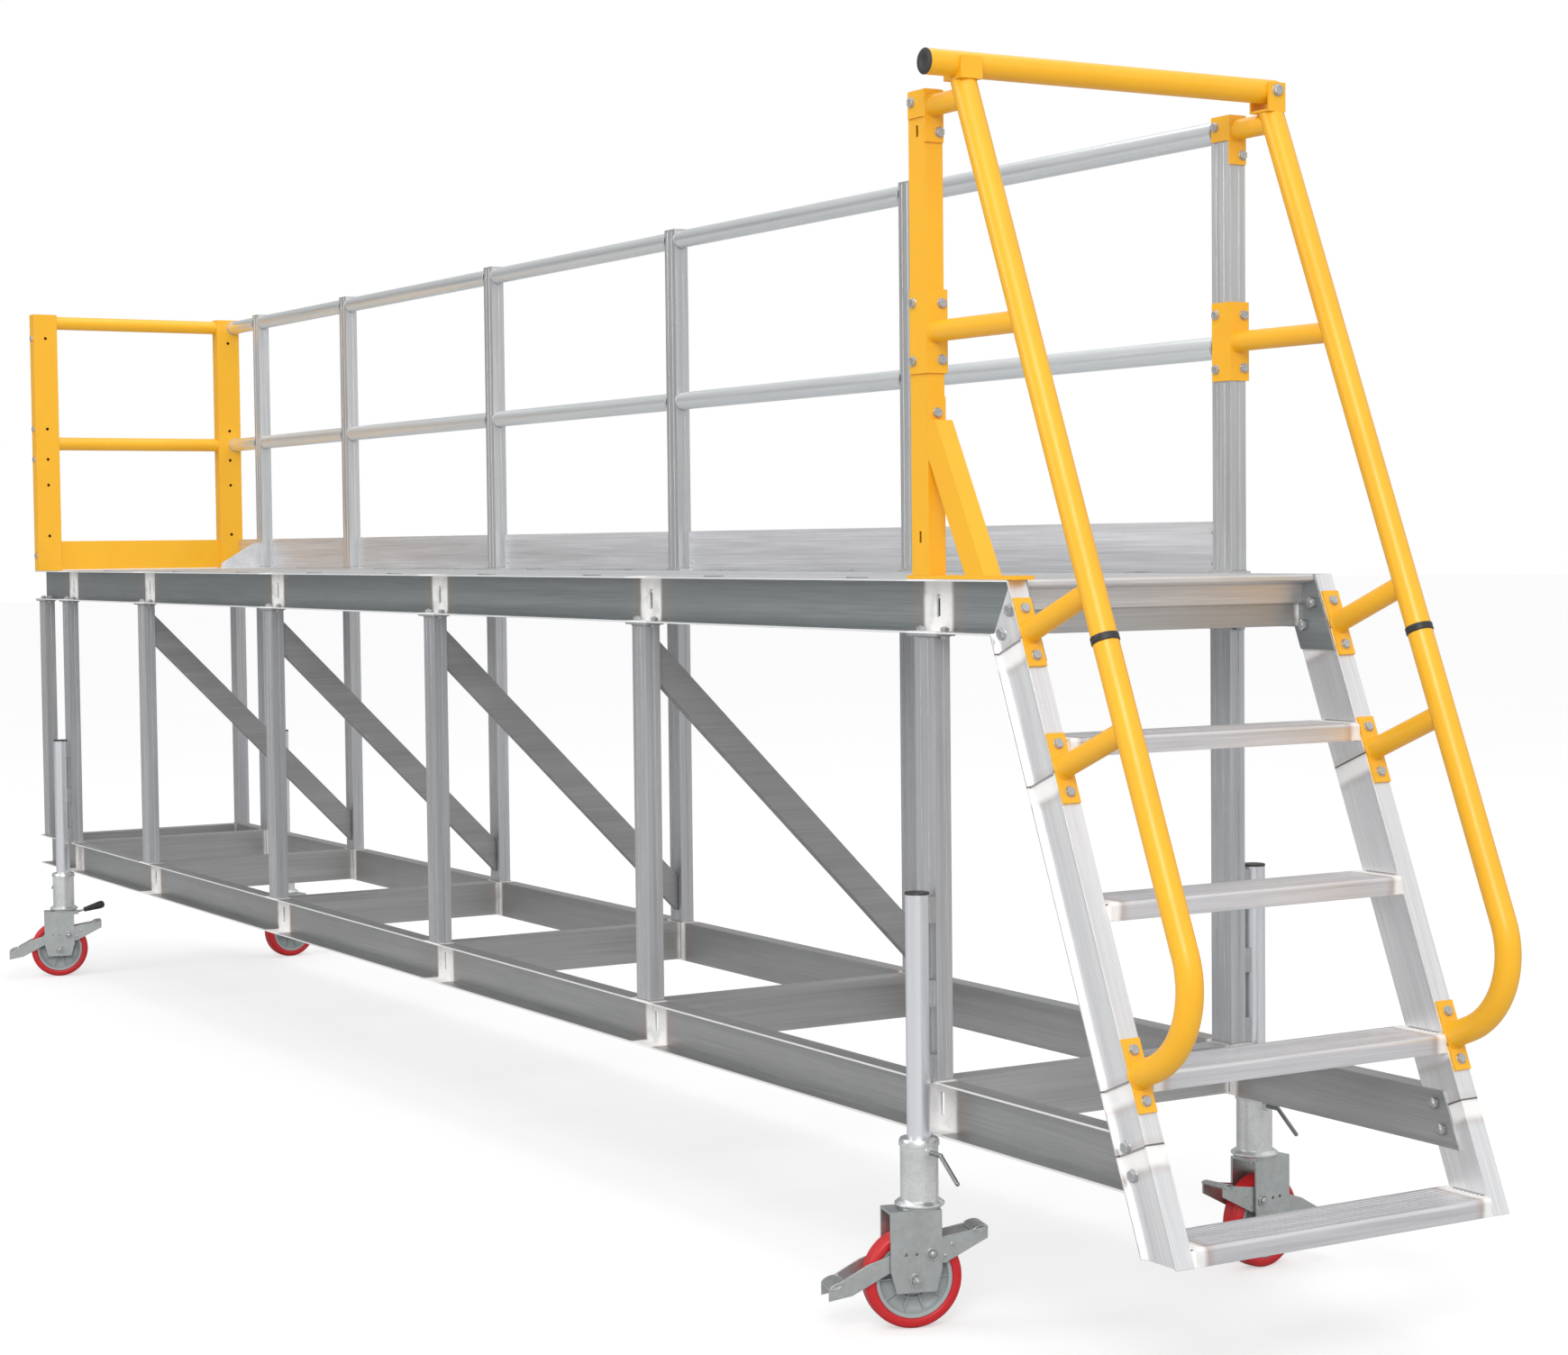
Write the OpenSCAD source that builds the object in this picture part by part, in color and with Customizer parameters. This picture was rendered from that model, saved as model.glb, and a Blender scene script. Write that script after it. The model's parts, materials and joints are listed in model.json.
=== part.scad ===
// Mobile access platform: a long deck on legs, a stair with two handrails, a drop bar
// across the stair, guardrails on the far side and at the left end, and four casters.
// X runs along the deck towards the stair, Y runs across it, Z is up, the floor is Z = 0.
// Lengths are laid out from the first leg pair and then centred by placed().

/* [Platform] */
// Height of the walking surface above the floor
deck_h = 1480; // [1300:10:1900]
// Width over the two edge beams
deck_w = 800; // [650:10:1100]
// Distance between leg pairs
bay = 1204; // [900:1:1500]
// Distance between the first two leg pairs
first_bay = 860; // [600:1:1200]
// Number of full bays
bays = 4; // [2:1:5]
// Deck beyond the first leg pair, at the left end
end_overhang = 342; // [330:1:500]
// Deck beyond the last leg pair, at the stair
stair_overhang = 295; // [280:1:400]
// Height of the top of the lower beams above the floor
chassis_h = 487; // [487:1:600]

/* [Beams and legs] */
// Height of the long beams
beam_h = 107; // [90:1:120]
// Flange width of the long beams
flange_w = 46; // [44:1:60]
// Wall of the long beams
beam_t = 4; // [3:0.5:5]
// Width of a leg along the deck
leg_w = 65; // [50:1:70]
// Depth of a leg across the deck
leg_d = 38; // [30:1:38]
// Wall of a leg
leg_t = 3; // [2:0.5:4]
// Leg set back from the outer edge of the beam
leg_inset = 8; // [6:1:8]
// Width of a cross-beam
cross_w = 50; // [40:1:60]
// Width of a sway brace
brace_w = 70; // [50:1:80]
// Thickness of a sway brace
brace_t = 25; // [20:1:40]
// Thickness of the deck planks
plank_t = 35; // [30:1:40]

/* [Guardrails] */
// Height of the top rail above the deck
guard_h = 950; // [900:10:1100]
// Height of the centre of the mid rail above the deck
mid_h = 475; // [450:5:550]
// Diameter of the guardrail tubes
rail_d = 48.3; // [42:0.1:60]
// Width of a guard post along the deck
post_w = 60; // [50:1:65]
// Depth of a guard post across the deck
post_d = 40; // [38:1:44]
// Height of the kick plates
kick_h = 110; // [100:1:150]
// Width of an end panel post across the deck
end_post_d = 88; // [70:1:100]

/* [Stair] */
// Slope of the stair from the horizontal
stair_angle = 67.6; // [62:0.1:72]
// Width of a stair stile
stile_w = 95; // [80:1:110]
// Height of one step
riser = 294; // [250:1:300]
// Number of treads below the deck
tread_count = 4; // [3:1:4]
// Depth of a tread
tread_d = 130; // [110:1:150]
// Thickness of a tread
tread_t = 35; // [25:1:45]
// Diameter of the handrail tubes
hand_d = 50; // [42:0.5:52]
// Handrail centre line out from the front of the stile
hand_off = 215; // [205:1:240]
// Radius of the lower handrail bend
hand_bend = 165; // [120:1:190]

/* [Casters] */
// Wheel diameter
wheel_d = 200; // [160:1:200]
// Tyre width
tyre_w = 46; // [36:1:50]
// Swivel axis to wheel axle
trail = 18; // [0:1:25]
// Caster centre beyond the end leg centres
caster_dx = 18; // [0:1:30]

/* [Hidden] */
$fn = 64;

// Colours
mill = "#b9bdc0";
mill_dark = "#8b8f92";
yellow = "#fcb924";
zinc = "#8d9493";
steel = "#c9cbcc";
red = "#c4222b";
hub_grey = "#8f999e";
black = "#26272b";

// Fits
run_gap = 0.05;     // radial clearance of a shaft that turns in a hole
seat_gap = 0.3;     // clearance between parts that slide past each other
bolt_gap = 0.5;     // radial clearance of a fastener in its hole

// Levels
deck_bot = deck_h - beam_h;
chassis_bot = chassis_h - beam_h;
plank_bot = deck_h - plank_t;
leg_plate_t = 5;
leg_top = deck_bot - leg_plate_t;
stile_foot = 111;                                      // foot of a stile below the lower beams
foot_z = chassis_bot - stile_foot;

// Stations along the deck
function station(k) = k == 0 ? 0 : first_bay + bay * (k - 1);
last = station(bays + 1);
stations = [for (k = [0 : bays + 1]) station(k)];
leg_bolt_d = 10;
leg_plate_w = leg_w + 4 * leg_bolt_d;
end_leg_x = -end_overhang + leg_plate_w / 2 + 2;
leg_places = concat([end_leg_x], stations);
deck_end = last + stair_overhang;
function stile_front(z) = deck_end + (deck_h - z) / tan(stair_angle);
function stile_rear(z) = stile_front(z) - stile_w / sin(stair_angle);

// Everything is centred between the left end of the deck and the bend of the lower handrail
low_plate = 960;                                    // third stile bracket down the slope
rail_reach = deck_end + (low_plate - hand_bend) * cos(stair_angle) + (hand_off - hand_bend) * sin(stair_angle)
             + hand_bend + hand_d / 2;
x_mid = (rail_reach - end_overhang) / 2;

// Cross section of the leg and post skins
groove_w = 8;
groove_deep = 1.2;

module placed() { translate([-x_mid, -deck_w / 2, 0]) children(); }
module far_side() { translate([0, deck_w, 0]) mirror([0, 1, 0]) children(); }
module both_sides() { children(); far_side() children(); }

// An outline in X and Z, extruded from y to y + t
module side_plate(points, y, t) {
  translate([0, y + t, 0]) rotate([90, 0, 0]) linear_extrude(t) polygon(points);
}

// Frame of the stair: X down the slope, Z out of its front, origin at the top front corner
module on_stair() { translate([deck_end, 0, deck_h]) rotate([0, stair_angle, 0]) children(); }

module hex_prism(af, h) { cylinder(d = af / cos(30), h = h, $fn = 6); }

// A hex bolt with its head above z = 0, and a nut at the far end of its grip
module hex_bolt(d, grip, nut) {
  head_h = 0.65 * d;
  nut_h = 0.8 * d;
  hex_prism(1.7 * d, head_h);
  translate([0, 0, -grip - (nut ? nut_h + 2 : 0)]) cylinder(d = d, h = grip + 0.01 + (nut ? nut_h + 2 : 0));
  if (nut) translate([0, 0, -grip - nut_h]) hex_prism(1.7 * d, nut_h);
}

// A round tube along X
module tube_x(x0, x1, y, z, d, wall) {
  translate([x0, y, z]) rotate([0, 90, 0]) difference() {
    cylinder(d = d, h = x1 - x0);
    translate([0, 0, -1]) cylinder(d = d - 2 * wall, h = x1 - x0 + 2);
  }
}

// A grooved rectangular tube standing on z = 0, from its near left corner
module box_section(w, d, t, h) {
  difference() {
    cube([w, d, h]);
    translate([t + groove_deep, t + groove_deep, -1])
      cube([w - 2 * (t + groove_deep), d - 2 * (t + groove_deep), h + 2]);
    for (x = [w * 0.3, w * 0.7])
      for (y = [-1, d - groove_deep])
        translate([x - groove_w / 2, y, -1]) cube([groove_w, groove_deep + 1, h + 2]);
    for (x = [-1, w - groove_deep])
      translate([x, d / 2 - groove_w / 2, -1]) cube([groove_deep + 1, groove_w, h + 2]);
  }
}

// ---- long beams ----
slot_w = 12;
slot_h = 46;

// A channel that opens to y = 0, cut by an outline in X and Z
module channel_beam(outline, z_top, slots) {
  x0 = outline[0][0] - 1;
  length = outline[1][0] - x0 + beam_h;
  difference() {
    intersection() {
      side_plate(outline, 0, flange_w);
      union() {
        translate([x0, flange_w - beam_t, z_top - beam_h]) cube([length, beam_t, beam_h]);
        translate([x0, 0, z_top - beam_t]) cube([length, flange_w, beam_t]);
        translate([x0, 0, z_top - beam_h]) cube([length, flange_w, beam_t]);
      }
    }
    for (x = slots)
      translate([x - slot_w / 2, flange_w - beam_t - 1, z_top - beam_h / 2 - slot_h / 2])
        cube([slot_w, beam_t + 2, slot_h]);
  }
}

stair_bolt_d = 12;
deck_bolts = [[52, -24], [84, -66]];                   // down the slope and out of the stile front
chassis_bolt_run = (deck_h - chassis_h) / sin(stair_angle);
chassis_bolts = [[chassis_bolt_run, -67], [chassis_bolt_run + 52, -67]];
tab_reach = 62;                                        // tab of the lower beam behind the stile
tab_low = deck_bot - 45;                               // foot of the deck beam's tab

module stair_bolt_holes() {
  for (p = concat(deck_bolts, chassis_bolts))
    on_stair() translate([p[0], -1, p[1]]) rotate([-90, 0, 0])
      cylinder(d = stair_bolt_d + 2 * bolt_gap, h = flange_w + 2);
}

leg_bolt_x = leg_w / 2 + leg_bolt_d + 0.5;
module at_leg_bolts() {
  for (x = leg_places)
    for (dx = [-leg_bolt_x, leg_bolt_x])
      translate([x + dx, leg_inset + leg_d / 2, leg_top]) children();
}

module deck_beam() {
  difference() {
    union() {
      channel_beam([[-end_overhang, deck_h], [deck_end, deck_h],
                    [stile_rear(deck_bot), deck_bot], [-end_overhang, deck_bot]], deck_h, stations);
      side_plate([[deck_end, deck_h], [stile_front(tab_low), tab_low], [stile_rear(tab_low), tab_low],
                  [stile_rear(deck_bot), deck_bot]], flange_w - beam_t, beam_t);
    }
    stair_bolt_holes();
    at_leg_bolts() translate([0, 0, -1])
      cylinder(d = leg_bolt_d + 2 * bolt_gap, h = leg_plate_t + beam_t + 2);
  }
}
module deck_beams() { color(mill) placed() both_sides() deck_beam(); }

module chassis_beam() {
  difference() {
    union() {
      channel_beam([[-end_overhang, chassis_h], [stile_rear(chassis_h), chassis_h],
                    [stile_rear(chassis_bot), chassis_bot], [-end_overhang, chassis_bot]],
                   chassis_h, stations);
      side_plate([[stile_rear(chassis_h) - 1, chassis_h], [stile_rear(chassis_h) + tab_reach, chassis_h],
                  [stile_rear(chassis_bot) + tab_reach, chassis_bot],
                  [stile_rear(chassis_bot) - 1, chassis_bot]],
                 flange_w - beam_t, beam_t);
    }
    stair_bolt_holes();
  }
}
module chassis_beams() { color(mill) placed() both_sides() chassis_beam(); }

// ---- cross members ----
// A channel across the frame, open at its back, from y = y0 to the same distance inside the far side
module cross_channel(x, y0, z_top, h) {
  t = 3;
  translate([x - cross_w / 2, y0, z_top - h]) difference() {
    cube([cross_w, deck_w - 2 * y0, h]);
    translate([-1, -1, t]) cube([cross_w - t + 1, deck_w - 2 * y0 + 2, h - 2 * t]);
  }
}
nose_w = 46;                                  // depth of the front nosing
nose_cross_x = deck_end - nose_w - cross_w / 2;
deck_cross_h = beam_h - plank_t - 2;
module deck_cross_beams() {
  color(mill_dark) placed()
    for (x = concat([-end_overhang + cross_w / 2], stations, [nose_cross_x]))
      cross_channel(x, flange_w, plank_bot, deck_cross_h);
}
module chassis_cross_beams() {
  color(mill_dark) placed()
    for (x = concat([-end_overhang + cross_w / 2], stations))
      cross_channel(x, flange_w, chassis_h - 1, beam_h - 4);
}

// ---- deck ----
plank_count = 3;
plank_gap = 2;
plank_w = (deck_w - 2 * flange_w - (plank_count - 1) * plank_gap) / plank_count;
plank_ribs = 8;
plank_skin = 3.5;
rib_t = 2.5;

// Ribbed hollow section, width along X and height along Y, with its top at y = 0
module ribbed_profile(w, t, ribs) {
  pitch = (w - rib_t) / ribs;
  difference() {
    translate([0, -t]) square([w, t]);
    for (k = [0 : ribs - 1])
      translate([rib_t + k * pitch, -t - 1]) square([pitch - rib_t, t + 1 - plank_skin]);
    for (k = [0 : 2 * ribs - 1])
      translate([rib_t + (k + 0.5) * pitch / 2 - 3, -1]) square([5, 2]);
  }
}
module deck_planks() {
  color(mill) placed() for (k = [0 : plank_count - 1])
    translate([-end_overhang, flange_w + k * (plank_w + plank_gap), deck_h])
      rotate([90, 0, 90]) linear_extrude(deck_end - nose_w + end_overhang)
        ribbed_profile(plank_w, plank_t, plank_ribs);
}
nose_lip = 14;
nose_drop = 58;
module deck_nosing() {
  color(mill) placed() difference() {
    translate([0, deck_w - flange_w, 0]) rotate([90, 0, 0]) linear_extrude(deck_w - 2 * flange_w)
      polygon([[deck_end - nose_w, deck_h], [deck_end - 4, deck_h], [deck_end, deck_h - 4],
               [deck_end, deck_h - nose_lip + 3], [deck_end - 3, deck_h - nose_lip],
               [deck_end - nose_w + 12, deck_h - nose_lip - 6], [deck_end - nose_w + 8, deck_h - nose_drop],
               [deck_end - nose_w, deck_h - nose_drop]]);
    for (k = [0 : 3])
      translate([deck_end - nose_w + 6 + k * 10, flange_w - 1, deck_h - 1.5])
        cube([4, deck_w - 2 * flange_w + 2, 3]);
  }
}
clip_places = concat([first_bay / 2], [for (k = [1 : bays], f = [0.25, 0.75]) station(k) + f * bay]);
module deck_clips() {
  color(steel) placed() both_sides()
    for (x = clip_places)
      translate([x - 15, flange_w - 22, deck_h]) difference() {
        cube([30, 34, 3]);
        translate([15, 11, -1]) cylinder(d = 6, h = 5);
      }
}

// ---- legs ----
module at_legs() {
  both_sides() for (x = leg_places)
    translate([x - leg_w / 2, leg_inset, 0]) children();
}
module legs() {
  color(mill) placed() at_legs()
    translate([0, 0, chassis_h]) box_section(leg_w, leg_d, leg_t, leg_top - chassis_h);
}
module leg_plates() {
  color(steel) placed() both_sides() difference() {
    for (x = leg_places)
      translate([x - leg_plate_w / 2, 1, leg_top]) cube([leg_plate_w, flange_w - 1, leg_plate_t]);
    at_leg_bolts() translate([0, 0, -1]) cylinder(d = leg_bolt_d + 2 * bolt_gap, h = leg_plate_t + 2);
  }
}
module leg_bolts() {
  color(steel) placed() both_sides() at_leg_bolts()
    mirror([0, 0, 1]) hex_bolt(leg_bolt_d, leg_plate_t + beam_t, true);
}

// Flat tubes from the top of the near leg to the foot of the far leg
brace_y0 = leg_inset + leg_d;
brace_y1 = deck_w - brace_y0;
brace_top = deck_bot - 35;
brace_low = chassis_h + 32;
brace_rise = brace_w * sqrt(2);
brace_wall = 3;
brace_slope = (brace_low + brace_rise - brace_top) / (brace_y1 - brace_y0);
function brace_edge(y) = brace_top + (y - brace_y0) * brace_slope;

// A slanting bar from y0 to y1, shrunk by inset on its long sides, centred on x = 0
module brace_bar(y0, y1, inset) {
  drop = inset * sqrt(2);
  translate([-brace_t / 2 + inset, 0, 0]) rotate([90, 0, 90]) linear_extrude(brace_t - 2 * inset)
    polygon([[y0, brace_edge(y0) - drop], [y1, brace_edge(y1) - drop],
             [y1, brace_edge(y1) - brace_rise + drop], [y0, brace_edge(y0) - brace_rise + drop]]);
}
module sway_braces() {
  color(mill_dark) placed() for (k = [1 : bays])
    translate([station(k), 0, 0]) difference() {
      brace_bar(brace_y0, brace_y1, 0);
      brace_bar(brace_y0 - 1, brace_y1 + 1, brace_wall);
    }
}

// ---- far guardrail ----
guard_y = deck_w - post_d / 2;
post_top = deck_h + guard_h + 5;
foot_t = 5;
foot_reach = 14;
module guard_post(x) {
  translate([x - post_w / 2, guard_y - post_d / 2, deck_h + foot_t])
    box_section(post_w, post_d, leg_t - 1, post_top - deck_h - foot_t - 4);
  translate([x - post_w / 2, guard_y - post_d / 2, post_top - 4]) cube([post_w, post_d, 4]);
  translate([x - post_w / 2 - foot_reach, guard_y - flange_w / 2, deck_h])
    cube([post_w + 2 * foot_reach, flange_w / 2 + post_d / 2, foot_t]);
}
module guard_posts() {
  color(mill) placed() difference() {
    for (x = stations) guard_post(x);
    bracket_holes(guard_y - post_d / 2);
  }
}

top_rail_z = deck_h + guard_h - rail_d / 2;
mid_rail_z = deck_h + mid_h;
rail_wall = 3;
end_post_w = 50;
end_x = -end_overhang + end_post_w;         // inner face of the end panel
rail_starts = concat([end_x], [for (x = stations) x + post_w / 2]);
module guard_rails() {
  color(mill) placed() for (k = [0 : bays + 1])
    for (z = [top_rail_z, mid_rail_z])
      tube_x(rail_starts[k], stations[k] - post_w / 2, guard_y, z, rail_d, rail_wall);
}
kick_t = 5;
module guard_kick_plate() {
  color(mill) placed() for (k = [0 : bays + 1])
    translate([rail_starts[k] + (k == 0 ? 0 : foot_reach), guard_y + 6, deck_h])
      cube([stations[k] - post_w / 2 - rail_starts[k] - (k == 0 ? 1 : 2) * foot_reach, kick_t, kick_h]);
}

// ---- end panel ----
end_post_h = guard_h + 5;
bolt_d = 10;
end_bolt_heights = [866, 529, 416, 56];
end_hole_heights = [866, 529, 416, 320, 130];
module end_post() {
  difference() {
    translate([-end_overhang, 0, deck_h]) cube([end_post_w, end_post_d, end_post_h]);
    translate([-end_overhang + 3, 3, deck_h - 1]) cube([end_post_w - 6, end_post_d - 6, end_post_h - 3]);
    for (z = end_hole_heights)
      translate([end_x - 4, end_post_d / 2, deck_h + z]) rotate([0, 90, 0]) cylinder(d = bolt_d + 1, h = 6);
    for (z = end_bolt_heights)
      translate([-end_overhang + end_post_w / 2, -1, deck_h + z]) rotate([-90, 0, 0])
        cylinder(d = bolt_d + 2 * bolt_gap, h = 5);
  }
}
module end_posts() { color(yellow) placed() both_sides() end_post(); }
module end_rails() {
  color(yellow) placed() for (z = [top_rail_z, mid_rail_z])
    translate([-end_overhang + end_post_w / 2, end_post_d, z]) rotate([-90, 0, 0]) difference() {
      cylinder(d = rail_d, h = deck_w - 2 * end_post_d);
      translate([0, 0, -1]) cylinder(d = rail_d - 2 * rail_wall, h = deck_w);
    }
}
// The end kick plate hangs between its posts, so that water and grit drain under it
kick_gap = 3;
module end_kick_plate() {
  color(yellow) placed()
    translate([end_x - 12, end_post_d, deck_h + kick_gap])
      cube([kick_t, deck_w - 2 * end_post_d, kick_h - kick_gap]);
}
stay_reach = 150;
stay_top = 96;
module end_stay() {
  y1 = guard_y - flange_w / 2;
  color(mill) placed() {
    translate([-4, 0, 0]) rotate([90, 0, 90]) linear_extrude(8)
      polygon([[y1 - stay_reach, deck_h + 5], [y1 - stay_reach, deck_h + 20], [y1 - 20, deck_h + stay_top],
               [y1 + 3, deck_h + stay_top], [y1 + 3, deck_h + 5 + foot_t], [y1, deck_h + 5]]);
    translate([-25, y1 - stay_reach - 10, deck_h]) cube([50, stay_reach + 10, 5]);
  }
}

// ---- corner post at the stair ----
base_t = 8;
corner_x = last - post_w / 2;
corner_face = last + post_w / 2;
corner_top = deck_h + guard_h + 6;
slot_heights = [865, 72];
corner_bolt_z = 326;
module corner_post() {
  color(yellow) placed() difference() {
    translate([corner_x, 0, deck_h + base_t]) cube([post_w, post_d, corner_top - deck_h - base_t]);
    translate([corner_x + 3, 3, deck_h + base_t - 1])
      cube([post_w - 6, post_d - 6, corner_top - deck_h - base_t - 3]);
    for (z = slot_heights)
      translate([last - 4, -1, deck_h + z]) cube([8, 5, 22]);
    bracket_holes(0);
    translate([corner_face - 4, post_d / 2, deck_h + corner_bolt_z]) rotate([0, 90, 0])
      cylinder(d = bolt_d + 2 * bolt_gap, h = 6);
  }
}

// Raking strut with its bolted tab and the base plate under strut and post
strut_w = 58;
strut_d = 40;
strut_angle = 61.7;
strut_foot = 190;
strut_top = 311;
tab_t = 4;
tab_z = [231, 358];
base_reach = 288;
module corner_strut() {
  slant = strut_w / sin(strut_angle);
  function strut_x(z) = corner_face + strut_foot - (z - base_t) / tan(strut_angle);
  color(yellow) placed() difference() {
    union() {
      translate([corner_x - 20, 0, deck_h]) cube([post_w + 20 + base_reach, flange_w, base_t]);
      intersection() {
        side_plate([[strut_x(base_t) - slant, deck_h + base_t], [strut_x(base_t), deck_h + base_t],
                    [strut_x(strut_top), deck_h + strut_top],
                    [strut_x(strut_top) - slant, deck_h + strut_top]], 0, strut_d);
        translate([corner_face + tab_t, 0, deck_h]) cube([base_reach, strut_d, corner_top]);
      }
      translate([corner_face, 0, deck_h + tab_z[0]]) cube([tab_t, post_d, tab_z[1] - tab_z[0]]);
    }
    translate([corner_face - 1, post_d / 2, deck_h + corner_bolt_z]) rotate([0, 90, 0])
      cylinder(d = bolt_d + 2 * bolt_gap, h = tab_t + 2);
  }
}
module guard_bolts() {
  color(steel) placed() {
    both_sides() for (z = end_bolt_heights)
      translate([-end_overhang + end_post_w / 2, 0, deck_h + z]) rotate([90, 0, 0]) hex_bolt(bolt_d, 3, true);
    translate([corner_face + 4, post_d / 2, deck_h + corner_bolt_z]) rotate([0, 90, 0])
      hex_bolt(bolt_d, 7, true);
  }
}

// ---- stair ----
stile_d = flange_w - beam_t;
stile_recess = 8;                                   // outer wall of the stile, back from its flanges
stile_wall = 3;
module stair_stile() {
  outline = [[deck_end, deck_h], [stile_front(foot_z), foot_z], [stile_rear(foot_z), foot_z],
             [stile_rear(deck_bot), deck_bot]];
  length = (deck_h - foot_z) / sin(stair_angle) + stile_w;
  difference() {
    intersection() {
      side_plate(outline, 0, stile_d);
      union() {
        side_plate(outline, stile_recess, stile_wall);
        side_plate(outline, stile_d - beam_t, beam_t);
        on_stair() translate([0, 0, -beam_t]) cube([length, stile_d, beam_t]);
        on_stair() translate([0, 0, -stile_w]) cube([length, stile_d, beam_t]);
      }
    }
    stair_bolt_holes();
  }
}
module stair_stiles() { color(mill) placed() both_sides() stair_stile(); }
// The treads' noses are notched beside the handrails, which stand in front of the stiles
module stair_treads() {
  color(mill) placed() difference() {
    for (k = [1 : tread_count])
      translate([stile_front(deck_h - riser * k - tread_t), stile_d, deck_h - riser * k])
        rotate([90, 0, 180]) linear_extrude(deck_w - 2 * stile_d) tread_profile();
    both_sides() on_stair() cube([2 * deck_h, post_d / 2 + hand_d / 2 + 1, tread_d]);
  }
}
module tread_profile() {
  nose_r = 8;
  difference() {
    union() {
      translate([nose_r, -tread_t]) square([tread_d - nose_r, tread_t]);
      translate([0, -tread_t]) square([nose_r + 0.01, tread_t - nose_r]);
      translate([nose_r, -nose_r]) circle(r = nose_r);
    }
    for (k = [0 : 3])
      translate([12 + k * (tread_d - 15) / 4, -tread_t + 4]) square([(tread_d - 15) / 4 - 3, tread_t - 8]);
    for (k = [0 : 9])
      translate([14 + k * (tread_d - 20) / 10, -1.2]) square([6, 2]);
  }
}
module stair_bolts() {
  color(steel) placed() both_sides() for (p = concat(deck_bolts, chassis_bolts))
    on_stair() translate([p[0], stile_recess, p[1]]) rotate([90, 0, 0])
      hex_bolt(stair_bolt_d, flange_w - stile_recess, true);
}

// ---- handrails ----
hand_y = post_d / 2;
bar_z = deck_h + guard_h + 38;
rail_line = hand_off / sin(stair_angle);           // horizontal distance of the rail from the stile front
function rail_x(z) = stile_front(z) + rail_line;
cradle_t = 5;
bar_gap = 0.3;
near_top = bar_z - hand_d / 2 - bar_gap - cradle_t;
fork_drop = 38;
far_top = bar_z - fork_drop - cradle_t;
function rail_run(z) = (deck_h - z) / sin(stair_angle) + hand_off / tan(stair_angle);
ring_run = rail_run(deck_h - 106);
ring_w = 14;
hand_wall = 3;

// Part of a straight handrail, from one distance down the slope to another
module rail_length(s0, s1) {
  on_stair() translate([s0, 0, hand_off]) rotate([0, 90, 0]) difference() {
    cylinder(d = hand_d, h = s1 - s0);
    translate([0, 0, -1]) cylinder(d = hand_d - 2 * hand_wall, h = s1 - s0 + 2);
  }
}
module handrail_upper(top_z) {
  difference() {
    rail_length(rail_run(top_z) - hand_d, ring_run - ring_w / 2);
    translate([rail_x(top_z) - 100, -50, top_z]) cube([200, 100, 120]);
  }
}
module handrails_upper() {
  color(yellow) placed() {
    translate([0, hand_y, 0]) handrail_upper(near_top);
    translate([0, deck_w - hand_y, 0]) handrail_upper(far_top);
  }
}
module handrail_rings() {
  color(black) placed() both_sides() translate([0, hand_y, 0])
    on_stair() translate([ring_run - ring_w / 2, 0, hand_off]) rotate([0, 90, 0])
      cylinder(d = hand_d + 4, h = ring_w);
}
plate_t = 6;
// The lower handrail as a solid rod of diameter d, with its ends lengthened by extra
module lower_rod(d, extra) {
  on_stair() {
    translate([ring_run + ring_w / 2 - extra, 0, hand_off]) rotate([0, 90, 0])
      cylinder(d = d, h = low_plate - hand_bend - ring_run - ring_w / 2 + extra);
    translate([low_plate - hand_bend, 0, hand_off - hand_bend]) rotate([90, 0, 0]) rotate_extrude(angle = 90)
      translate([hand_bend, 0]) circle(d = d);
    translate([low_plate, 0, plate_t - extra]) cylinder(d = d, h = hand_off - hand_bend - plate_t + extra);
  }
}
module handrail_lower() {
  difference() {
    lower_rod(hand_d, 0);
    lower_rod(hand_d - 2 * hand_wall, 1);
  }
}
module handrails_lower() { color(yellow) placed() both_sides() translate([0, hand_y, 0]) handrail_lower(); }

// ---- brackets ----
stub_d = 42;
plate_l = 137;
plate_w = 40;
plate_bolt = 47;
stub_runs = [107, 377];
bracket_bolt_d = 10;
module slope_plate(s) {
  difference() {
    translate([s - plate_l / 2, -plate_w / 2, 0]) cube([plate_l, plate_w, plate_t]);
    for (ds = [-plate_bolt, plate_bolt])
      translate([s + ds, 0, -1]) cylinder(d = bracket_bolt_d + 2 * bolt_gap, h = plate_t + 2);
  }
}
// A stub tube from a plate to the side of the handrail, which it meets in a saddle
module slope_stub(s) {
  difference() {
    translate([s, 0, plate_t]) cylinder(d = stub_d, h = hand_off - plate_t);
    translate([s, 0, plate_t]) cylinder(d = stub_d - 6, h = hand_off);
    translate([s - stub_d, 0, hand_off]) rotate([0, 90, 0]) cylinder(d = hand_d, h = 2 * stub_d);
  }
}
module stile_brackets() {
  color(yellow) placed() both_sides() translate([0, hand_y, 0]) on_stair() {
    for (s = stub_runs) {
      slope_plate(s);
      slope_stub(s);
    }
    slope_plate(low_plate);
  }
}

wrap_t = 4;
mid_bracket_z = 485;
top_stub_z = far_top - deck_h - stub_d / 2;
// Bolt places on a post: near face as [x from the post edge, height], side face as [y, height]
near_face_bolts = [[18, 933], [18, 542], [18, 428]];
side_face_bolts = [[30, 872], [32, 540], [32, 430]];
module at_bracket_bolts(y0) {
  for (p = near_face_bolts)
    translate([corner_x + p[0], y0 - wrap_t, deck_h + p[1]]) rotate([90, 0, 0]) children();
  for (p = side_face_bolts)
    translate([corner_face + wrap_t, y0 + p[0], deck_h + p[1]]) rotate([0, 90, 0]) children();
}
module bracket_holes(y0) {
  at_bracket_bolts(y0) translate([0, 0, -9]) cylinder(d = bracket_bolt_d + 2 * bolt_gap, h = 10);
}
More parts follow.
